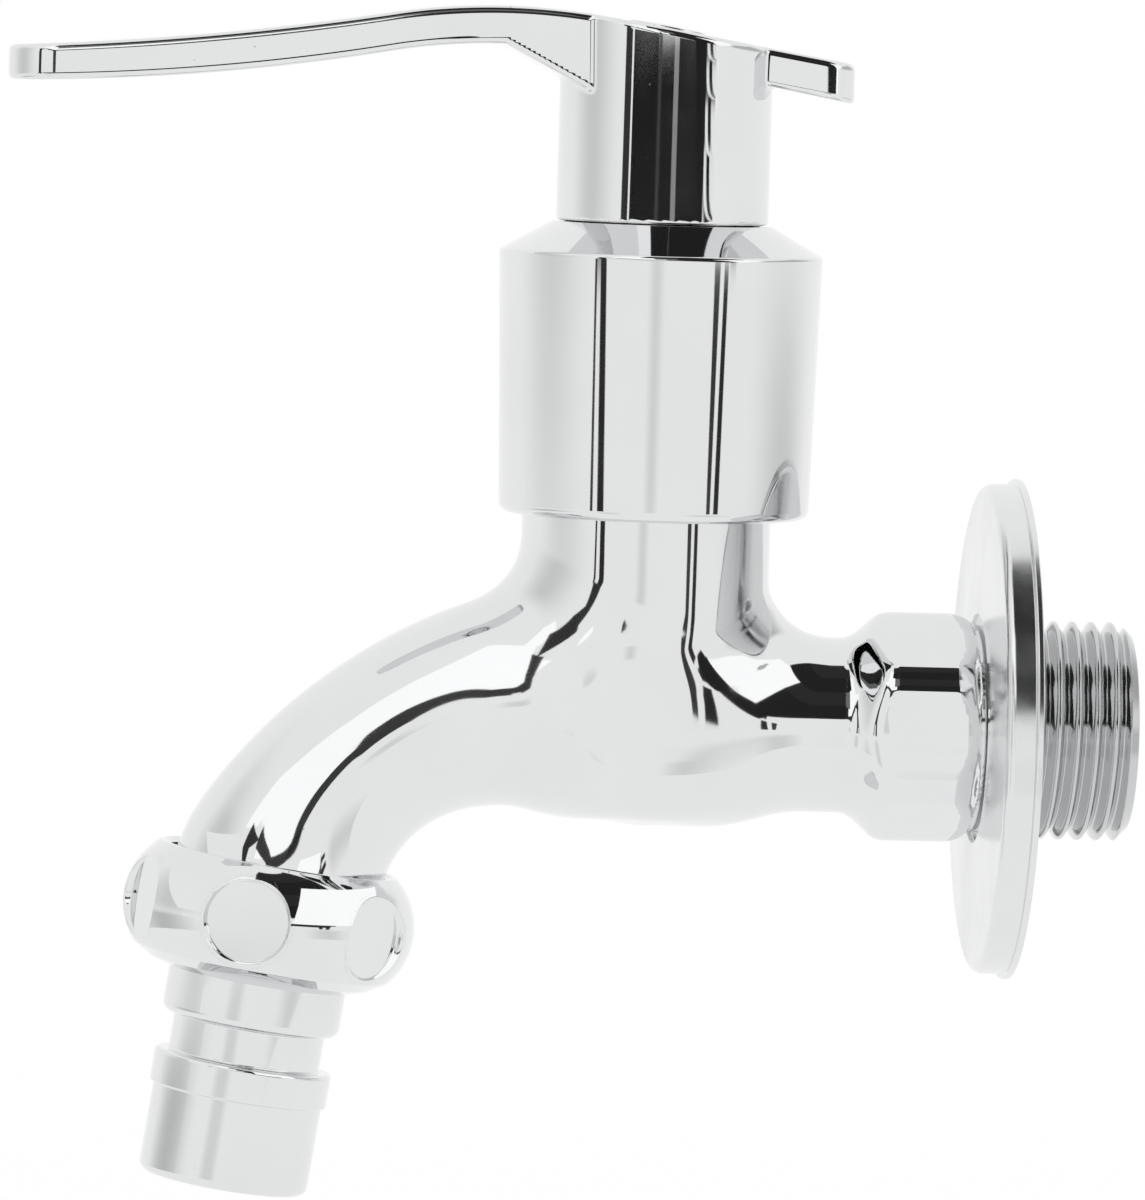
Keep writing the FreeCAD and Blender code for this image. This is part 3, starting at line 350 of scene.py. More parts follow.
def add_turned(name, outline, columns, matrix, *rest):
    """A piece turned from an outline. The rest is what add_piece takes from its body on."""
    points, faces, normals = lathe(rounded_outline(outline), columns)
    points, normals = place(points, normals, matrix)
    add_piece(name, points, faces, normals, *rest)


VALVE = Matrix.Translation((-35.1, 0.0, 0.0))
OUTLET = Matrix.Translation((-70.6, 0.0, -19.3)) @ Matrix.Rotation(math.radians(8.3), 4, "Y")
INLET = Matrix(((0, 0, 1, 0), (0, 1, 0, 0), (-1, 0, 0, 0), (0, 0, 0, 1)))


# Materials

def node(tree, kind, inputs=(), **settings):
    """A new node. Each named input gets a number or a colour, or a link from a socket."""
    made = tree.nodes.new(kind)
    for key, value in settings.items():
        setattr(made, key, value)
    for key, value in dict(inputs).items():
        if isinstance(value, bpy.types.NodeSocket):
            tree.links.new(value, made.inputs[key])
        else:
            made.inputs[key].default_value = value
    return made


def scaled_noise(tree, spot, scale, detail, roughness):
    return node(tree, "ShaderNodeTexNoise", {
        "Vector": spot, "Scale": scale, "Detail": detail, "Roughness": roughness}).outputs["Fac"]


def ranged(tree, value, low, high, to_low=0.0, to_high=1.0, kind="LINEAR"):
    sockets = {"Value": value, "From Min": low, "From Max": high, "To Min": to_low, "To Max": to_high}
    return node(tree, "ShaderNodeMapRange", sockets, clamp=True,
                interpolation_type=kind).outputs["Result"]


def calculated(tree, operation, first, second):
    return node(tree, "ShaderNodeMath", {0: first, 1: second}, operation=operation).outputs["Value"]


def times(tree, first, second):
    return calculated(tree, "MULTIPLY", first, second)


def plus(tree, first, second):
    return calculated(tree, "ADD", first, second)


def open_group(name, *numbers):
    """A node group that takes a tint and numbers: the group, what it is given and object space."""
    group = bpy.data.node_groups.new(name, "ShaderNodeTree")
    sockets = [("Tint", "INPUT", "Color")] + [(label, "INPUT", "Float") for label in numbers]
    sockets += [("Color", "OUTPUT", "Color")]
    sockets += [(label, "OUTPUT", "Float") for label in ("Roughness", "Height")]
    for label, way, kind in sockets:
        group.interface.new_socket(label, in_out=way, socket_type="NodeSocket" + kind)
    spot = node(group, "ShaderNodeTexCoord").outputs["Object"]
    return group, node(group, "NodeGroupInput").outputs, spot


def close_group(group, tint, level, roughness, height):
    """Gives a group its outputs. Its colour is the tint multiplied by a grey level."""
    shade = node(group, "ShaderNodeCombineColor", {0: level, 1: level, 2: level})
    mix = node(group, "ShaderNodeMix", {"Factor": 1.0, "A": tint, "B": shade.outputs["Color"]},
               data_type="RGBA", blend_type="MULTIPLY")
    node(group, "NodeGroupOutput", {
        "Color": mix.outputs["Result"], "Roughness": roughness, "Height": height})
    return group


def make_plating_group():
    """Bright plating: thin haze, buffing ripple, dust specks and a faint shift of colour."""
    group, given, spot = open_group("Plating", "Haze", "Dust", "Ripple Scale")
    cloud = scaled_noise(group, spot, 90.0, 4.0, 0.55)
    fine = scaled_noise(group, spot, 1400.0, 3.0, 0.6)
    specks = node(group, "ShaderNodeTexVoronoi", {"Vector": spot, "Scale": 900.0, "Randomness": 1.0},
                  feature="F1")
    near = ranged(group, specks.outputs["Distance"], 0.05, 0.12, 1.0, 0.0)
    rare = ranged(group, scaled_noise(group, spot, 500.0, 2.0, 0.5), 0.62, 0.70)
    dust = times(group, times(group, near, rare), given["Dust"])
    worn = times(group, given["Haze"], ranged(group, cloud, 0.3, 0.7, 0.6, 1.6))
    worn = plus(group, plus(group, worn, times(group, fine, 0.006)), times(group, dust, 0.4))
    ripple = scaled_noise(group, spot, given["Ripple Scale"], 2.0, 0.5)
    height = plus(group, ripple, times(group, dust, 0.6))
    level = ranged(group, cloud, 0.3, 0.7, 0.965, 1.0)
    return close_group(group, given["Tint"], level, worn, height)


def make_grain_group():
    """Fine grain for the parts inside: colour, roughness and height."""
    group, given, spot = open_group("Grain", "Contrast", "Rough Low", "Rough High")
    grain = scaled_noise(group, spot, 800.0, 5.0, 0.6)
    level = times(group, calculated(group, "SUBTRACT", grain, 0.5), given["Contrast"])
    spread = calculated(group, "SUBTRACT", given["Rough High"], given["Rough Low"])
    rough = plus(group, given["Rough Low"], times(group, spread, grain))
    return close_group(group, given["Tint"], plus(group, level, 1.0), rough, grain)


def new_material(name):
    material = bpy.data.materials.new(name)
    material.use_nodes = True
    return material, material.node_tree


def finished_material(name, group, values, metallic, bump, depth):
    """A Principled material that takes colour, roughness and height from a group."""
    material, tree = new_material(name)
    shader = tree.nodes["Principled BSDF"]
    shader.inputs["Metallic"].default_value = metallic
    effect = node(tree, "ShaderNodeGroup", values, node_tree=group).outputs
    relief = node(tree, "ShaderNodeBump", {
        "Strength": bump, "Distance": depth, "Height": effect["Height"]})
    tree.links.new(effect["Color"], shader.inputs["Base Color"])
    tree.links.new(effect["Roughness"], shader.inputs["Roughness"])
    tree.links.new(relief.outputs["Normal"], shader.inputs["Normal"])
    return material


def chrome(name, dust=1.0, ripple=160.0, bump=0.05, haze=None, colour=None):
    """Bright chrome plating for one piece."""
    look = bpy.context.scene.tap_finish
    values = {"Tint": tuple(colour or look.chrome), "Haze": look.haze if haze is None else haze,
              "Dust": dust, "Ripple Scale": ripple}
    group = bpy.data.node_groups.get("Plating") or make_plating_group()
    return finished_material(name, group, values, 1.0, bump, 0.0001)


def inner_finish(name, colour, metallic, contrast, low, high, bump):
    group = bpy.data.node_groups.get("Grain") or make_grain_group()
    values = {"Tint": tuple(colour), "Contrast": contrast, "Rough Low": low, "Rough High": high}
    return finished_material(name, group, values, metallic, bump, 0.00005)


# Body casting

# The spout's middle line and its radius: along the arm, height, radius
SPOUT = [
    (-39.4, 2.05, 10.45), (-44.31, 2.03, 10.35), (-49.29, 1.45, 10), (-54.21, 0.11, 9.27),
    (-58.68, -2.01, 8.74), (-62.59, -4.82, 8.61), (-65.78, -8.18, 8.88), (-68.1, -11.62, 9.42),
    (-69.6, -14.9, 9.98), (-70.45, -19.3, 10.05),
]
BARREL_X = -35.75
BARREL_TOP = 26.0
FLARE_START = -16.9
HEX_FRONT = -13.2
HEX_BACK = -4.2
COLLAR_BACK = -1.0
COLLAR_RADIUS = 9.9
FLARE_RISE = 2.95
THREAD_CREST = 10.47
THREAD_COLUMNS, THREAD_STEPS = 200, 22


def hexagon_field(points, flats, rounding):
    """Distance from a hexagonal bar along X with two corners up and down."""
    away = np.hypot(points[:, 1], points[:, 2])
    angle = np.arctan2(points[:, 2], points[:, 1])
    sector = math.pi / 3
    turned = np.mod(angle, sector)
    first = away * np.cos(turned) - flats / 2
    second = away * np.cos(sector - turned) - flats / 2
    return soft_max(first, second, rounding * 0.75, 2.2)


def body_field(sizes):
    """The casting: barrel, spout, arm, hexagon and collar as one polished skin."""
    curve = SmoothCurve(SPOUT)
    barrel_r, arm_r = sizes.barrel_radius / MM, sizes.arm_radius / MM
    drop, belly = sizes.belly_drop / MM, sizes.belly_round / MM
    arm_blend, spout_blend = sizes.arm_blend / MM, sizes.spout_blend / MM
    flats, corner = sizes.hexagon_flats / MM, sizes.hexagon_round / MM
    end = np.array(OUTLET.to_3x3()) @ np.array([0.0, 0.0, 1.0])
    outlet = np.array(OUTLET.translation)

    def field(points):
        x, y, z = points.T
        barrel = np.hypot(x - BARREL_X, y) - barrel_r
        barrel = soft_max(barrel, -z - drop, belly, 2.3)
        barrel = soft_max(barrel, z - BARREL_TOP, 0.4)
        across = np.hypot(y, z)
        radius = arm_r + FLARE_RISE * smooth_step(x, FLARE_START, HEX_FRONT + 1.2) ** 1.15
        turned = across - radius
        chamfer = (x - HEX_BACK) * 0.75 + (across - COLLAR_RADIUS) * 0.66
        turned = soft_max(turned, chamfer, 1.2)
        bar = hexagon_field(points, flats, corner)
        arm = soft_max(soft_max(turned, bar, 0.8), x - HEX_BACK, 0.3)
        collar = soft_max(across - COLLAR_RADIUS, x - COLLAR_BACK, 0.4)
        collar = soft_max(collar, HEX_FRONT - x, 0.4)
        arm = soft_min(arm, collar, 0.35)
        arm = soft_max(arm, BARREL_X - x, 0.5)
        height = smooth_step(z, 0.0, 9.0) - 0.4 * smooth_step(-z, 0.0, 7.0)
        both = soft_min(barrel, arm, arm_blend * (0.80 + 0.20 * height), 2.3)
        front = smooth_step(x, -43.0, -39.5) * np.exp(-((z - 3.0) / 4.0) ** 2)
        spout = curve.tube(points)
        level = (points - outlet) @ end
        spout = soft_max(spout, 4.4 - level, 0.15)
        return soft_min(both, spout, spout_blend * (0.66 + 0.34 * height), 2.3 + 1.2 * front)

    return field


class TAP_OT_body(bpy.types.Operator):
    """Build the polished casting from the spout's end to the collar"""
    bl_idname = "tap.body"
    bl_label = "Body casting"

    def execute(self, context):
        sizes = context.scene.tap_body
        step = 0.36
        points, faces, normals = skin_of(
            body_field(sizes), (-82.0, -13.0, -21.0), (-0.5, 13.0, 27.0), step)
        finish = chrome("Body chrome", dust=0.6, ripple=110.0, bump=0.10)
        add_piece("body_casting", points, faces, normals, "tap", finish, "body_chrome", "tap_body")
        return {"FINISHED"}


def thread_rows(x_low, x_high, pitch, depth, angles):
    """Rows (level, radius) of a right-hand pipe thread, which fades out over its ends."""
    rows = []
    for x in np.arange(x_low, x_high, pitch / THREAD_STEPS):
        wave = np.abs(2.0 * np.mod(x / pitch + angles / (2 * math.pi), 1.0) - 1.0)
        cut = smooth_step(wave, 0.12, 0.92)
        radius = THREAD_CREST - depth * (0.35 * wave + 0.65 * cut) ** 1.1
        radius = np.minimum(radius, THREAD_CREST - 1.1 + x_high - x)
        start = THREAD_CREST - depth * 1.05 + max(0.0, x - x_low) * 2.5
        rows.append((x, np.minimum(radius, start)))
    return rows


def turned_rows(rows, angles):
    """Points of rows (level, radius) about the upright axis."""
    points = []
    for level, radius in rows:
        radius = np.broadcast_to(radius, angles.shape)
        points.append(np.stack([radius * np.cos(angles), radius * np.sin(angles),
                                np.full_like(angles, level)], -1))
    return np.concatenate(points)


class TAP_OT_threads(bpy.types.Operator):
    """Build the inlet thread with its bore, and the outlet thread inside the nut"""
    bl_idname = "tap.threads"
    bl_label = "Threads"

    def execute(self, context):
        sizes = context.scene.tap_body
        pitch, depth = sizes.thread_pitch / MM, sizes.thread_depth / MM
        angles = np.linspace(0.0, 2 * math.pi, THREAD_COLUMNS, endpoint=False)
        # The darker thread colour is painted shade for the roots of both threads.
        finish = chrome("Thread chrome with painted shade", dust=1.5, ripple=500.0, bump=0.12, haze=0.09,
                        colour=context.scene.tap_finish.thread_chrome_painted_shade)
        for name, span, matrix, turn, bore in (
            ("inlet_thread", (-1.6, 10.95), INLET, -1, [
                (10.99, 9.2), (11, 9.1), (11, 8.9), (11, 6.6), (10.95, 6.45), (10.4, 6.02), (10.2, 6),
                (-11.9, 6), (-12, 5.95), (-12.6, 5), (-12.7, 4.9), (-24, 4.8), (-24, 8), (-4, 8.1),
                (-1.7, 8.2), (-1.65, 9.2)]),
            ("outlet_thread", (0.3, 4.6), OUTLET, 1, [
                (4.65, 9.3), (4.65, 6.7), (4.6, 6.6), (0.1, 6.6), (0, 6.7), (0, 9), (0.05, 9.2)]),
        ):
            rows = thread_rows(*span, pitch, depth, angles) + bore
            points = turned_rows(rows, angles)
            points, _ = place(points, points, matrix)
            faces = grid_faces(len(rows), THREAD_COLUMNS)[:, ::turn]
            add_piece(name, points, faces, None, "tap", finish, "body_chrome")
        return {"FINISHED"}


# Turned pieces

class TAP_OT_cover(bpy.types.Operator):
    """Build the conical bonnet cover"""
    bl_idname = "tap.cover"
    bl_label = "Bonnet cover"

    def execute(self, context):
        sizes = context.scene.tap_trim
        wall, rim = sizes.cover_wall / MM, sizes.cover_rim / MM
        outline = [
            (14.75, 19.6, rim), (15.4, 44.55, 0.5), (10.4, 47.4, 0.22), (9.3, 47.4, 0.15),
            (9.3, 45.2, 0.2), (6.15, 45.2, 0.1), (6.15, 43.7, 0.1), (15.4 - wall, 43.7, 0.6),
            (14.75 - wall, 19.6, 0.12),
        ]
        finish = chrome("Cover chrome", dust=0.8, ripple=60.0, bump=0.03)
        add_turned("cover", outline, 320, VALVE, "tap", finish, "cover_chrome", "bonnet_cover")
        return {"FINISHED"}


class TAP_OT_flange(bpy.types.Operator):
    """Build the pressed wall flange with its rolled lip"""
    bl_idname = "tap.flange"
    bl_label = "Wall flange"

    def execute(self, context):
        corner = context.scene.tap_trim.flange_corner / MM
        outline = [
            (10.93, -3.7, 0.12), (10.93, -3.1, 0.1), (22.3, -2.8, max(corner - 0.6, 0.1)),
            (22.85, -0.7, 0.15), (23.45, 0, 0.05), (23.9, 0, 0.12), (23.9, -0.6, 0.2),
            (23.43, -0.68, 0.12), (23.35, -3.4, corner),
        ]
        finish = chrome("Flange chrome", dust=0.5, ripple=40.0, bump=0.04, haze=0.18)
        add_turned("flange_disc", outline, 360, INLET, "flange", finish, "flange_chrome",
                   "wall_flange")
        return {"FINISHED"}


class TAP_OT_nozzle(bpy.types.Operator):
    """Build the hose nozzle"""
    bl_idname = "tap.nozzle"
    bl_label = "Hose nozzle"

    def execute(self, context):
        edge = context.scene.tap_trim.nozzle_edge / MM
        outline = [
            (5.6, -2, 0.15), (5.6, -26, 0.5), (8.1, -26, edge), (8.1, -17.4, 0.15),
            (8.5, -17.4, 0.18), (8.5, -14.1, 0.45), (7.25, -14.1, 0.2), (7.25, -10.6, 0.2),
            (8.5, -10.6, edge), (8.5, -3.95, 0.3), (9.9, -3.95, 0.2), (9.9, -2, 0.2),
        ]
        finish = chrome("Nozzle chrome", dust=1.2, ripple=120.0, bump=0.10, haze=0.05)
        add_turned("nozzle", outline, 240, OUTLET, "nozzle", finish, "nozzle_chrome", "hose_nozzle")
        return {"FINISHED"}


PAD_FACE = 12.6
PAD_START = math.radians(-102.0)
PAD_TURN = math.radians(60.0)


class TAP_OT_nut(bpy.types.Operator):
    """Build the outlet nut with its six round flats"""
    bl_idname = "tap.nut"
    bl_label = "Outlet nut"

    def execute(self, context):
        pad_r = context.scene.tap_trim.dimple_radius / MM
        outline = rounded_outline([
            (8.65, -6.25, 0.25), (10.8, -5.5, 0.5), (12.4, -4.5, 1.1), (16.24, 0.93, 7),
            (11.35, 5.4, 0.35), (10.95, 5.4, 0.12), (10.53, 4.95, 0.1), (10.53, -4.1, 0.1),
            (8.65, -4.1, 0.15),
        ])
        side = outline[0][(outline[0][:, 0] > 11.4) & (outline[0][:, 1] < 5.3)]
        side = side[side[:, 1].argsort()]
        points, faces, normals = lathe(outline, 480)
        pieces = [[points, None, normals]]
        rings = pad_r / 4.2 * np.array([
            0.0, 1.5, 3.0, 3.6, 3.75, 3.85, 3.93, 4.0, 4.07, 4.14, 4.2, 4.27, 4.35, 4.45, 4.6])
        turns = np.linspace(0.0, 2 * math.pi, 120, endpoint=False)
        kept = np.ones(len(faces), bool)

        def pad(radius, turn):
            """Point of a round flat and the bulge round it: sideways, up and out."""
            along, up = radius * np.cos(turn), radius * np.sin(turn)
            bulge = np.sqrt(np.interp(up, side[:, 1], side[:, 0]) ** 2 - along ** 2)
            floor = soft_min(bulge, np.full_like(bulge, PAD_FACE), 0.12)
            share = smooth_step(radius, pad_r - 0.36, pad_r)
            return np.stack([along, up, floor * (1 - share) + bulge * share], -1)

        ring, turn = (grid.ravel() for grid in np.meshgrid(rings, turns, indexing="ij"))
        shape = pad(np.maximum(ring, 0.02), turn)
        across = pad(np.maximum(ring, 0.02) + 0.02, turn) - shape
        around = pad(np.maximum(ring, 0.02), turn + 0.02) - shape
        shape_normals = np.cross(across, around)
        shape_normals /= np.linalg.norm(shape_normals, axis=1, keepdims=True)
        strip = grid_faces(len(rings), len(turns))[:(len(rings) - 1) * len(turns)]
        for number in range(6):
            angle = PAD_START + number * PAD_TURN
            facing = np.array([math.cos(angle), math.sin(angle), 0.0])
            axes = np.array([np.cross([0.0, 0.0, 1.0], facing), [0.0, 0.0, 1.0], facing])
            middle = np.hypot(points @ axes[0], points[:, 2]) + 99.0 * (points @ facing < 10.0)
            kept &= (middle[faces] > pad_r + 0.03).all(1)
            pieces.append([shape @ axes, strip[:, ::-1], shape_normals @ axes])
        pieces[0][1] = faces[kept]
        total = 0
        for piece in pieces:
            piece[1] = piece[1] + total
            total += len(piece[0])
        points, faces, normals = (np.concatenate([piece[i] for piece in pieces]) for i in range(3))
        points, normals = place(points, normals, OUTLET)
        finish = chrome("Nut chrome", dust=1.0, ripple=130.0, bump=0.10)
        add_piece("coupling_nut", points, faces, normals, "nut", finish, "nut_chrome", "outlet_nut")
        return {"FINISHED"}


# Handle

HANDLE_TOP = 65.861
FALL = math.radians(9.2)
LEVER_END, LEVER_HALF = -62.4, 6.8
TAIL_END, TAIL_HALF = 17.8, 4.6
HUB_RADIUS, HUB_BOTTOM = 10.1, 47.46
CAVITY_RADIUS, CAVITY_TOP = 8.7, 50.2
# Where the lever's top turns into its crest and then its fall, and its underside into the bend
# and then the root: distance from the hub's axis, and height
CREST_START, FALL_START = (-26.613, 66.678), -5.934
BEND_START, ROOT_START = (-25.988, 63.132), (-15.847, 64.019)
TIP_TOP, TIP_UNDER = 62.6, 59.3
RISE_RADIUS, CREST_RADIUS, HOLLOW_RADIUS, BEND_RADIUS = 295.0, 62.0, 215.0, 58.4
CREST_SLOPE = math.radians(10.0)


def arc_height(x, start, slope, radius, side):
    """Height of an arc that leaves start with this slope; side is 1 for an upward bend."""
    centre_x = start[0] - side * radius * math.sin(slope)
    centre_z = start[1] + side * radius * math.cos(slope)
    across = np.clip(x - centre_x, -radius * 0.99, radius * 0.99)
    return centre_z - side * np.sqrt(radius ** 2 - across ** 2)


def handle_top(x):
    """Height of the handle's top: the lever's rise, its crest and the straight fall."""
    rise = arc_height(x, (LEVER_END, TIP_TOP), math.radians(3.0), RISE_RADIUS, 1)
    crest = arc_height(x, CREST_START, CREST_SLOPE, CREST_RADIUS, -1)
    fall = HANDLE_TOP - x * math.tan(FALL)
    return np.where(x < CREST_START[0], rise, np.where(x < FALL_START, crest, fall))


def lever_under(x):
    """Height of the lever's underside: a long hollow, the bend under the crest and the root."""
    run, climb = BEND_START[0] - LEVER_END, BEND_START[1] - TIP_UNDER
    start = math.atan2(climb, run) - math.asin(math.hypot(run, climb) / 2 / HOLLOW_RADIUS)
    hollow = arc_height(x, (LEVER_END, TIP_UNDER), start, HOLLOW_RADIUS, 1)
    bend = arc_height(x, BEND_START, CREST_SLOPE, BEND_RADIUS, -1)
    root = ROOT_START[1] - (x - ROOT_START[0]) * math.tan(math.radians(27.5))
    under = np.where(x < BEND_START[0], hollow, bend)
    return np.where(x > ROOT_START[0], soft_min(bend, root, 1.2), under)


def handle_field(edge):
    """Hub, lever and tail under one top, with softened edges."""

    def field(points):
        x, y, z = points.T
        gap = 0.01
        lean = (handle_top(x + gap) - handle_top(x - gap)) / (2 * gap)
        top = (z - handle_top(x)) / np.sqrt(1 + lean ** 2)
        hub = soft_max(np.hypot(x, y) - HUB_RADIUS, HUB_BOTTOM - z, 0.35)
        lean_in = 0.022 * (z - 61.0)
        plan = soft_max(np.abs(y) - LEVER_HALF + lean_in, LEVER_END - x, 4.5)
        plan = np.maximum(plan, x)
        dip = (lever_under(x + gap) - lever_under(x - gap)) / (2 * gap)
        under = (lever_under(x) - z) / np.sqrt(1 + dip ** 2)
        lever = soft_max(plan, under, edge)
        tail_under = HANDLE_TOP - 3.4 - x * (math.tan(FALL) + 0.4 / TAIL_END)
        tail = soft_max(np.abs(y) - TAIL_HALF + lean_in, x - TAIL_END, 3.2)
        tail = soft_max(np.maximum(tail, -x), (tail_under - z) * 0.985, edge * 0.8)
        whole = soft_min(soft_min(hub, lever, 0.35), tail, 0.35)
        whole = soft_max(whole, top, edge)
        cavity = soft_max(np.hypot(x, y) - CAVITY_RADIUS, z - CAVITY_TOP, 0.5)
        return soft_max(whole, -cavity, 0.3)

    return field


def follow_handle(points):
    """Moves the grid's rows so that they run along the lever's top and its underside."""
    x, y, z = points.T
    thick = handle_top(x) - lever_under(np.minimum(x, -17.0))
    share = smooth_step(x, -24.0, -12.0)
    thick = thick * (1 - share) + 3.3 * share
    return np.stack([x, y, handle_top(x) + z * thick / 3.3], -1)


class TAP_OT_handle(bpy.types.Operator):
    """Build the lever handle and its round cap"""
    bl_idname = "tap.handle"
    bl_label = "Lever handle"

    def execute(self, context):
        edge = context.scene.tap_trim.handle_edge / MM
        step = 0.24
        points, faces, normals = skin_of(
            handle_field(edge), (-63.5, -10.92, -20.52), (18.8, 10.92, 1.2), step, follow_handle)
        points, normals = place(points, normals, VALVE)
        finish = chrome("Handle chrome", dust=1.6, ripple=60.0, bump=0.03)
        add_piece("lever", points, faces, normals, "handle", finish, "handle_chrome", "lever_handle")

        outline = [
            (0.02, -0.3, 0.01), (3.65, -0.3, 0.1), (3.65, 0.22, 0.18), (1.8, 0.36, 0.1),
            (0.02, 0.4, 0.01),
        ]
        seat = VALVE @ Matrix.Translation((0.0, 0.0, HANDLE_TOP)) @ Matrix.Rotation(FALL, 4, "Y")
        finish = chrome("Cap chrome", dust=1.2, ripple=90.0, bump=0.03, haze=0.05)
        add_turned("cap", outline, 96, seat, "handle", finish, "cap_chrome", "handle_cap")
        return {"FINISHED"}


# Parts inside the tap

class TAP_OT_inner_parts(bpy.types.Operator):
    """Give the parts inside the tap their finishes"""
    bl_idname = "tap.inner_parts"
    bl_label = "Parts inside"

    def execute(self, context):
        look = context.scene.tap_finish
        for names, *values in (
            ("headwork_housing cover_nut spindle",
             "Bare brass", look.brass, 1.0, 0.25, 0.22, 0.42, 0.2),
            ("spindle_clip handle_screw seal_stiffener",
             "Bright steel", (0.56, 0.55, 0.53, 1.0), 1.0, 0.2, 0.25, 0.45, 0.2),
            ("head_o_ring spindle_o_rings seat_seal nozzle_gasket",
             "Seal rubber", look.rubber, 0.0, 0.5, 0.5, 0.75, 0.3),
            ("fixed_disc moving_disc",
             "Disc ceramic", look.ceramic, 0.0, 0.04, 0.18, 0.28, 0.05),
            ("slip_washer",
             "White plastic", (0.82, 0.82, 0.8, 1.0), 0.0, 0.05, 0.35, 0.5, 0.1),
        ):
            finish = inner_finish(*values)
            for name in names.split():
                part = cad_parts[name]
                part.data.materials.clear()
                part.data.materials.append(finish)
        return {"FINISHED"}


# Stage: floor, soft boxes, dark flags, surround and camera

CENTRE = Vector((-0.043, 0.0, 0.011))
SOFTBOX_RADIUS = 0.51
CARD_RADIUS = 0.507
NOZZLE_CARD_RADIUS = 0.17
CARD_STEP = 0.0005
CARD_CELLS = 10
FLOOR_CELLS = 12
FLOOR_REACH = 3.0
FLOOR_LEVEL = -0.16


def grey(level):
    return (level, level, level, 1.0)


def direction(azimuth, elevation):
    """The way to an azimuth, 0 to the front, and an elevation, both in radians."""
    return Vector((math.sin(azimuth) * math.cos(elevation),
                   -math.cos(azimuth) * math.cos(elevation), math.sin(elevation)))


def mixed(tree, share, first, second):
    return node(tree, "ShaderNodeMixShader", {"Fac": share, 1: first, 2: second}).outputs["Shader"]


def seen_by(tree, *rays):
    """1 for the named kinds of ray, 0 for the rest."""
    path = node(tree, "ShaderNodeLightPath").outputs
    seen = path[rays[0]]
    for ray in rays[1:]:
        seen = calculated(tree, "MAXIMUM", seen, path[ray])
    return seen


def soft_emitter(name, level, softness, one_sided):
    """An emitter that fades out at the card's left, right, bottom and top edge.

    A one-sided one can't be seen from its back.
    """
    material, tree = new_material(name)
    tree.nodes.clear()
    split = node(tree, "ShaderNodeSeparateXYZ", {
        "Vector": node(tree, "ShaderNodeTexCoord").outputs["UV"]})
    back = node(tree, "ShaderNodeNewGeometry").outputs["Backfacing"]
    shown = calculated(tree, "SUBTRACT", 1.0, times(tree, back, float(one_sided)))
    for axis, start, soft in zip("XXYY", (0.0, 1.0, 0.0, 1.0), softness):
        if soft:
            full = start + soft * (1.0 - 2.0 * start)
            shown = times(tree, shown, ranged(tree, split.outputs[axis], start, full, kind="SMOOTHSTEP"))
    light = node(tree, "ShaderNodeEmission", {"Color": grey(level), "Strength": 1.0})
    clear = node(tree, "ShaderNodeBsdfTransparent")
    node(tree, "ShaderNodeOutputMaterial", {
        "Surface": mixed(tree, shown, clear.outputs["BSDF"], light.outputs["Emission"])})
    return material


def add_grid(name, spot, cells, material):
    """A grid of faces on the stage. spot gives its point at (across, up), both 0 to 1."""
    row = cells + 1
    spots = [(i / cells, j / cells) for i in range(row) for j in range(row)]
    faces = [(i * row + j, i * row + j + 1, (i + 1) * row + j + 1, (i + 1) * row + j)
             for i in range(cells) for j in range(cells)]
    mesh = bpy.data.meshes.new(name)
    mesh.from_pydata([spot(u, v) for u, v in spots], [], faces)
    mesh.materials.append(material)
    layer = mesh.uv_layers.new(name="UVMap")
    for loop in mesh.loops:
        layer.data[loop.index].uv = spots[loop.vertex_index]
    return new_object(name, mesh)


def add_stage_mesh(name, spot, level, softness, one_sided=False):
    """A card that shows in reflections only."""
    card = add_grid(name, spot, CARD_CELLS, soft_emitter(name, level, softness, one_sided))
    card.visible_camera = False
    card.visible_diffuse = False
    card.visible_shadow = False


def add_card(name, level, softness, corners, radius):
    """A curved card round the tap."""
    corners = np.reshape(corners, (4, 2))

    def spot(u, v):
        bottom = corners[0] * (1 - u) + corners[1] * u
        top = corners[3] * (1 - u) + corners[2] * u
        return CENTRE + radius * direction(*np.radians(bottom * (1 - v) + top * v))

    add_stage_mesh(name, spot, level, softness)


def add_shelf(name, level, softness, axis_x, height, azimuths, reaches):
    """A level card round an upright axis, seen from above, or from below with azimuths reversed."""

    def spot(u, v):
        turn = math.radians(azimuths[0] * (1 - u) + azimuths[1] * u)
        reach = reaches[0] * (1 - v) + reaches[1] * v
        return (axis_x + reach * math.sin(turn), -reach * math.cos(turn), height)

    add_stage_mesh(name, spot, level, softness, True)


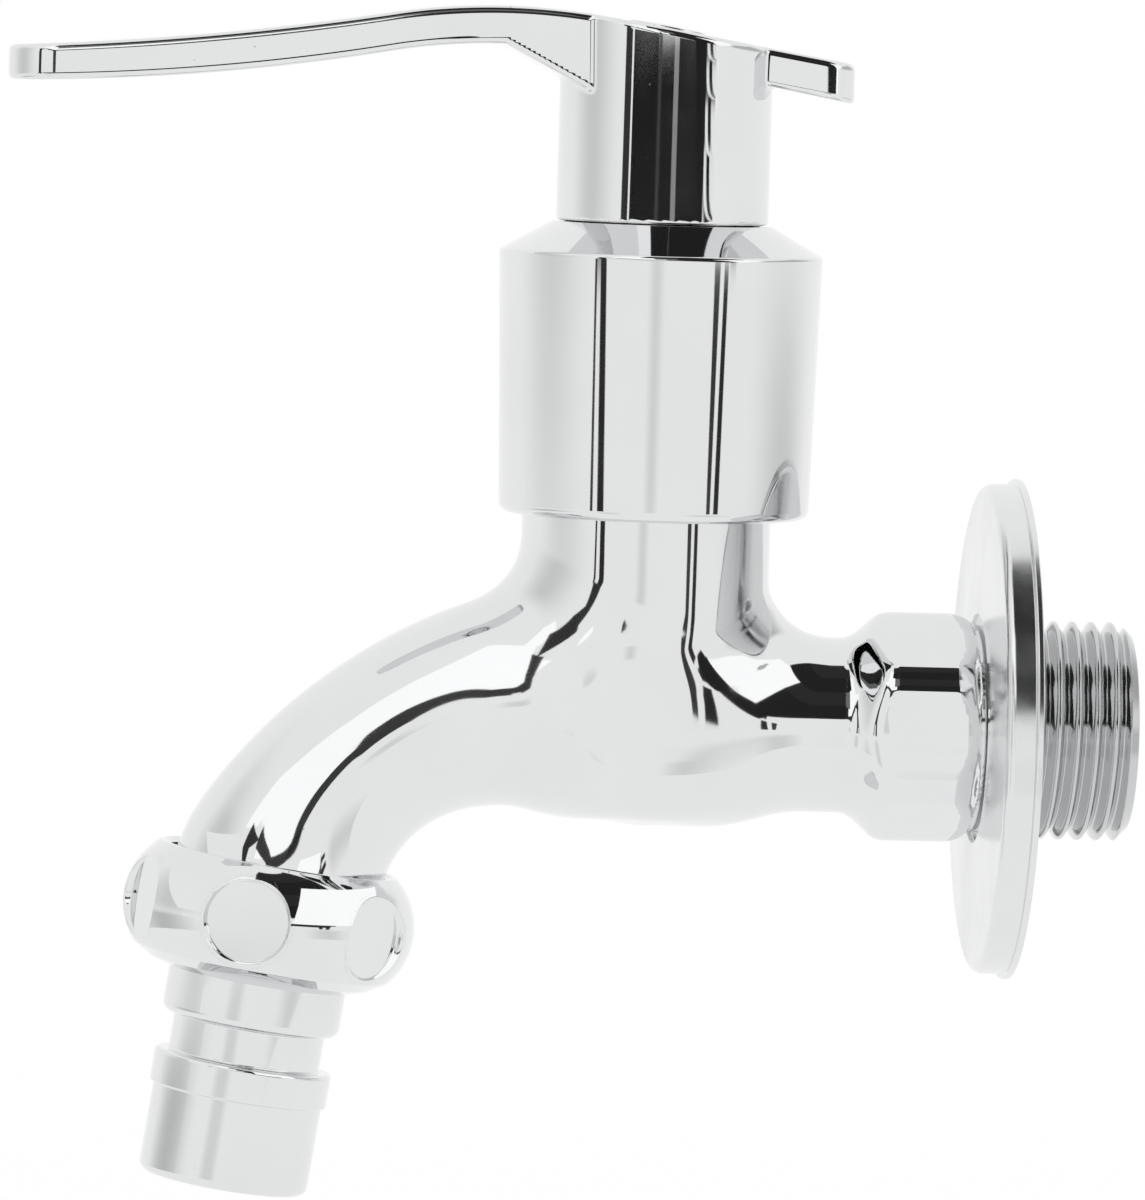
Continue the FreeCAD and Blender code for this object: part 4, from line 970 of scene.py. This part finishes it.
# Each card: name, level, softness of its left, right, bottom and top edge, and the azimuth and
# elevation of its corners in degrees: bottom left, bottom right, top right, top left
HAZY = (0.5, 0.5, 0.3, 0.3)
HARD = (0, 0, 0, 0)
CARDS = (
    ("left_wall", 0.72, HAZY, (-125, -12, -53, -12, -53, 38, -125, 48)),
    ("right_shade", 0.55, (0.12, 0.4, 0.3, 0.15), (60, 5.5, 150, 5.5, 130, 40, 78, 30)),
    ("right_shade_low", 0.72, HAZY, (62, -14, 140, -14, 140, 2, 62, 2)),
    ("front_shade", 0.80, (0.5, 0.5, 0.1, 0.3), (-13, -5.6, 0, -5.6, 1, 1, -14, 1)),
    ("left_post_outer", 0.05, (0.1, 0.1, 0, 0.2), (-52.3, -7, -49.6, -7, -49.6, 1, -51, 1)),
    ("left_post_inner", 0.03, (0.1, 0.1, 0, 0.2), (-46, -7, -40, -7, -43, 1, -47.5, 1)),
    ("left_post_foot", 0.04, (0.1, 0.1, 0.1, 0), (-51, -1.5, -42.5, -1.5, -43, 14, -48, 14)),
    ("left_post_middle", 0.04, (0.1, 0.1, 0, 0), (-48, 13.8, -43, 13.8, -43, 21, -51.5, 21)),
    ("left_post_top", 0.04, (0.1, 0, 0, 0), (-51.5, 20.8, -43, 20.8, -35.3, 23.8, -51.5, 31)),
    ("left_post_bend", 0.05, HARD, (-36, 20.5, -21.5, 12.5, -20.8, 18.5, -37, 28)),
    ("left_post_tail", 0.05, HARD, (-21.8, 12.7, -16, 7.2, -16, 14.6, -21.2, 18.8)),
    ("left_post_end", 0.05, HARD, (-16.2, 7.2, -9.6, 7, -9.6, 14.6, -16.2, 14.7)),
    ("left_post_tip", 0.05, HARD, (-9.8, 8.6, 0.3, 10.2, 0.3, 14.2, -9.8, 14.6)),
    ("gap_left", 0.18, HARD, (-7.5, 24, 8.5, 24, 10.5, 49.5, -10, 49.5)),
    ("gap_middle", 0.03, (0, 0, 0.04, 0), (0, 10.2, 8.5, 10.2, 8.5, 28, 0, 24)),
    ("right_gap_low", 0.02, (0, 0, 0.03, 0), (8, 10.2, 42.5, 2, 42.5, 28.3, 8, 28.3)),
    ("right_gap_edge", 0.02, HARD, (42, 0.6, 51, 2.6, 45, 28.3, 42, 28.3)),
    ("right_gap_foot", 0.02, (0.1, 0, 0.1, 0), (45.8, -0.4, 49.8, -0.4, 50.6, 2.6, 43, 1)),
    ("right_gap_high", 0.03, HARD, (8, 28, 45.2, 28, 38.5, 46, 10, 46)),
    ("roof_low", 0.02, (0, 0.02, 0, 0), (-22, 49, 9, 45.8, 9, 66.3, -22, 66.3)),
    ("roof_middle", 0.02, (0, 0.02, 0, 0), (8.8, 45.8, 71, 44, 80, 66.3, 8.8, 66.3)),
    ("roof_high", 0.03, (0, 0.02, 0, 0.1), (-22, 66, 80, 66, 84, 82, -30, 82)),
    ("right_post_inner", 0.05, (0.1, 0.1, 0.06, 0.05), (34.6, -5.2, 37.4, -5.2, 38.6, -0.3, 33.8, -0.3)),
    ("right_post_outer", 0.03, (0.1, 0.1, 0.06, 0.05), (39.6, -5.2, 43.8, -5.2, 44.6, -0.3, 41.2, -0.3)),
)
SOFTBOXES = (
    ("left_softbox_root", (-58, 29.5, -43.5, 29, -43.5, 38, -58, 36)),
    ("left_softbox", (-44, 30, -19, 21, -20.8, 66, -44, 66)),
    ("left_softbox_low", (-34.5, 15, -19.8, 14, -19.8, 25, -34.5, 29)),
    ("left_softbox_end", (-20, 13.5, -9.5, 13.5, -9.5, 49, -20, 49)),
    ("left_softbox_tip", (-9.7, 13, 0.3, 13, 0.3, 24.2, -9.7, 24.2)),
    ("right_softbox", (50.5, 2.6, 60.5, 10, 67, 46, 38, 46)),
    ("right_softbox_end", (60.3, 9.8, 70, 19, 79, 36, 66.8, 46)),
)
# Each shelf: name, level, softness, its axis along the arm, height, azimuths, and nearest and
# farthest reach from the axis
HUB, NOSE = -0.0351, -0.0706
SHELVES = (
    ("opening_line", 0.03, HARD, HUB, 0.040, (-46, -43), (0.12, 12)),
    ("opening_left", 0.015, HARD, HUB, 0.040, (-41, -14), (0.12, 12)),
    ("opening_grey", 0.06, (0.4, 0.4, 0, 0), HUB, 0.0401, (-15, -9), (0.12, 12)),
    ("opening_middle", 0.012, HARD, HUB, 0.040, (-14, 3), (0.12, 4)),
    ("opening_streak", 0.30, HARD, HUB, 0.040, (3, 8), (0.12, 4)),
    ("opening_right", 0.02, HARD, HUB, 0.040, (8, 38), (0.12, 12)),
    ("opening_edge", 0.02, HARD, HUB, 0.040, (41, 44.5), (0.12, 12)),
    ("nut_white", 1.24, HARD, NOSE, -0.0125, (72, 15), (0.0145, 0.10)),
    ("nose_pale", 1, HARD, NOSE, -0.0085, (-36, -75), (0.0125, 0.12)),
    ("nut_line", 0.03, HARD, NOSE, -0.0125, (46, 11), (0.10, 0.40)),
) + tuple(
    ("blind_%d_%d" % (side[0], number), 1, HARD, HUB, height, side, (0.013, 0.44))
    for side in ((38, 41), (44.5, 54))
    for number, height in enumerate((0.0475, 0.0535, 0.0592, 0.0628)))
# Cards close to the nozzle, in front of the dark posts
NOZZLE_CARDS = (
    ("nozzle_pale", 1, HARD, (-75, -24, -22, -24, -22, -10.5, -75, -10.5)),
    ("nozzle_left_grey", 0.60, (0.5, 0.5, 0, 0.3), (-125, -26, -58, -26, -58, -10.5, -125, -10.5)),
    ("nozzle_middle_grey", 0.80, (0.4, 0.4, 0, 0.3), (-48, -26, -24, -26, -24, -10.5, -48, -10.5)),
    ("nozzle_right_grey", 0.78, (0.5, 0.5, 0, 0.3), (12, -26, 60, -26, 60, -10.5, 12, -10.5)),
)


def make_world(level):
    """White to the camera and in reflections, with a level of its own for all other light."""
    world = bpy.data.worlds.new("Surround")
    bpy.context.scene.world = world
    world.use_nodes = True
    tree = world.node_tree
    tree.nodes.clear()
    felt, shown = (
        node(tree, "ShaderNodeBackground", {"Color": grey(value), "Strength": 1.0}).outputs["Background"]
        for value in (level, 1.0))
    seen = seen_by(tree, "Is Camera Ray", "Is Glossy Ray", "Is Transmission Ray")
    node(tree, "ShaderNodeOutputWorld", {"Surface": mixed(tree, seen, felt, shown)})


def make_floor(colour):
    """A wide pale floor that shows as the background does and keeps the shadow."""
    material, tree = new_material("Floor paper")
    paper = tree.nodes["Principled BSDF"]
    paper.inputs["Base Color"].default_value = tuple(colour)
    paper.inputs["Roughness"].default_value = 0.9
    paper.inputs["Specular IOR Level"].default_value = 0.0
    glow = node(tree, "ShaderNodeEmission", {"Color": grey(1.0), "Strength": 1.0}).outputs["Emission"]
    spot = node(tree, "ShaderNodeTexCoord").outputs["Object"]
    away = node(tree, "ShaderNodeVectorMath", {0: spot}, operation="LENGTH").outputs["Value"]
    fade = times(tree, seen_by(tree, "Is Camera Ray"), ranged(tree, away, 0.2, 1.4, 0.9, 1.0))
    shown = mixed(tree, fade, paper.outputs["BSDF"], glow)
    shown = mixed(tree, seen_by(tree, "Is Glossy Ray", "Is Transmission Ray"), shown, glow)
    tree.links.new(shown, tree.nodes["Material Output"].inputs["Surface"])

    def place_at(u, v):
        return (FLOOR_REACH * (2 * v - 1), FLOOR_REACH * (2 * u - 1), FLOOR_LEVEL)

    floor = add_grid("floor", place_at, FLOOR_CELLS, material)


def make_camera():
    """A camera far off, a little to the left and above the arm."""
    azimuth, elevation, roll = (math.radians(a) for a in (-4.8, 3.4, 1.7375))
    target, distance = Vector((-0.040, 0.0, 0.015)), 0.950
    focal, middle = 9982.0, (600.33, 562.0)
    width, height, sensor = 1145.0, 1200.0, 36.0
    back = direction(azimuth, elevation)
    right = (-back).cross(Vector((0, 0, 1))).normalized()
    up = right.cross(-back)
    right, up = (right * math.cos(roll) + up * math.sin(roll), up * math.cos(roll) - right * math.sin(roll))
    data = bpy.data.cameras.new("camera")
    camera = new_object("camera", data)
    camera.location = target + back * distance
    camera.rotation_euler = Matrix((right, up, back)).transposed().to_euler()
    data.sensor_width = sensor
    data.sensor_fit = "AUTO"
    data.lens = focal / height * sensor
    data.shift_x = (width / 2 - middle[0]) / height
    data.shift_y = (middle[1] - height / 2) / height
    data.clip_start, data.clip_end = 0.05, 20.0
    bpy.context.scene.camera = camera


class TAP_OT_stage(bpy.types.Operator):
    """Set up the floor, the soft boxes, the dark flags, the surround and the camera"""
    bl_idname = "tap.stage"
    bl_label = "Stage"

    def execute(self, context):
        look = context.scene.tap_stage
        context.scene.view_settings.view_transform = "Standard"
        make_world(look.surround)
        make_floor(look.floor)
        for shelf in SHELVES:
            add_shelf(*shelf)
        for number, card in enumerate(CARDS):
            add_card(*card, CARD_RADIUS - number * CARD_STEP)
        for name, corners in SOFTBOXES:
            add_card(name, look.softbox, (0.02, 0, 0.02, 0.02), corners, SOFTBOX_RADIUS)
        for number, card in enumerate(NOZZLE_CARDS):
            add_card(*card, NOZZLE_CARD_RADIUS - number * CARD_STEP)
        make_camera()
        return {"FINISHED"}


class TAP_PT_panel(bpy.types.Panel):
    bl_idname = "TAP_PT_panel"
    bl_label = "Washing machine tap"
    bl_space_type = "VIEW_3D"
    bl_region_type = "UI"
    bl_category = "Tap"

    def draw(self, context):
        for name, _ in GROUPS:
            group = getattr(context.scene, name)
            box = self.layout.box()
            for key in group.bl_rna.properties.keys():
                if key not in ("rna_type", "name"):
                    box.prop(group, key)
        for operator in OPERATORS:
            self.layout.operator(operator.bl_idname)


OPERATORS = (TAP_OT_stage, TAP_OT_body, TAP_OT_threads, TAP_OT_cover, TAP_OT_flange, TAP_OT_handle,
             TAP_OT_nut, TAP_OT_nozzle, TAP_OT_inner_parts)
GROUPS = (("tap_body", TapBodySizes), ("tap_trim", TapTrimSizes), ("tap_finish", TapFinish),
          ("tap_stage", TapStageLook))


def register():
    for name, group in GROUPS:
        bpy.utils.register_class(group)
        setattr(bpy.types.Scene, name, PointerProperty(type=group))
    for operator in OPERATORS:
        bpy.utils.register_class(operator)
    bpy.utils.register_class(TAP_PT_panel)


def unregister():
    bpy.utils.unregister_class(TAP_PT_panel)
    for operator in reversed(OPERATORS):
        bpy.utils.unregister_class(operator)
    for name, group in reversed(GROUPS):
        delattr(bpy.types.Scene, name)
        bpy.utils.unregister_class(group)


def main():
    register()
    bpy.ops.tap.stage()
    bpy.ops.tap.body()
    bpy.ops.tap.threads()
    bpy.ops.tap.cover()
    bpy.ops.tap.flange()
    bpy.ops.tap.handle()
    bpy.ops.tap.nut()
    bpy.ops.tap.nozzle()
    bpy.ops.tap.inner_parts()


if __name__ == "__main__":
    main()
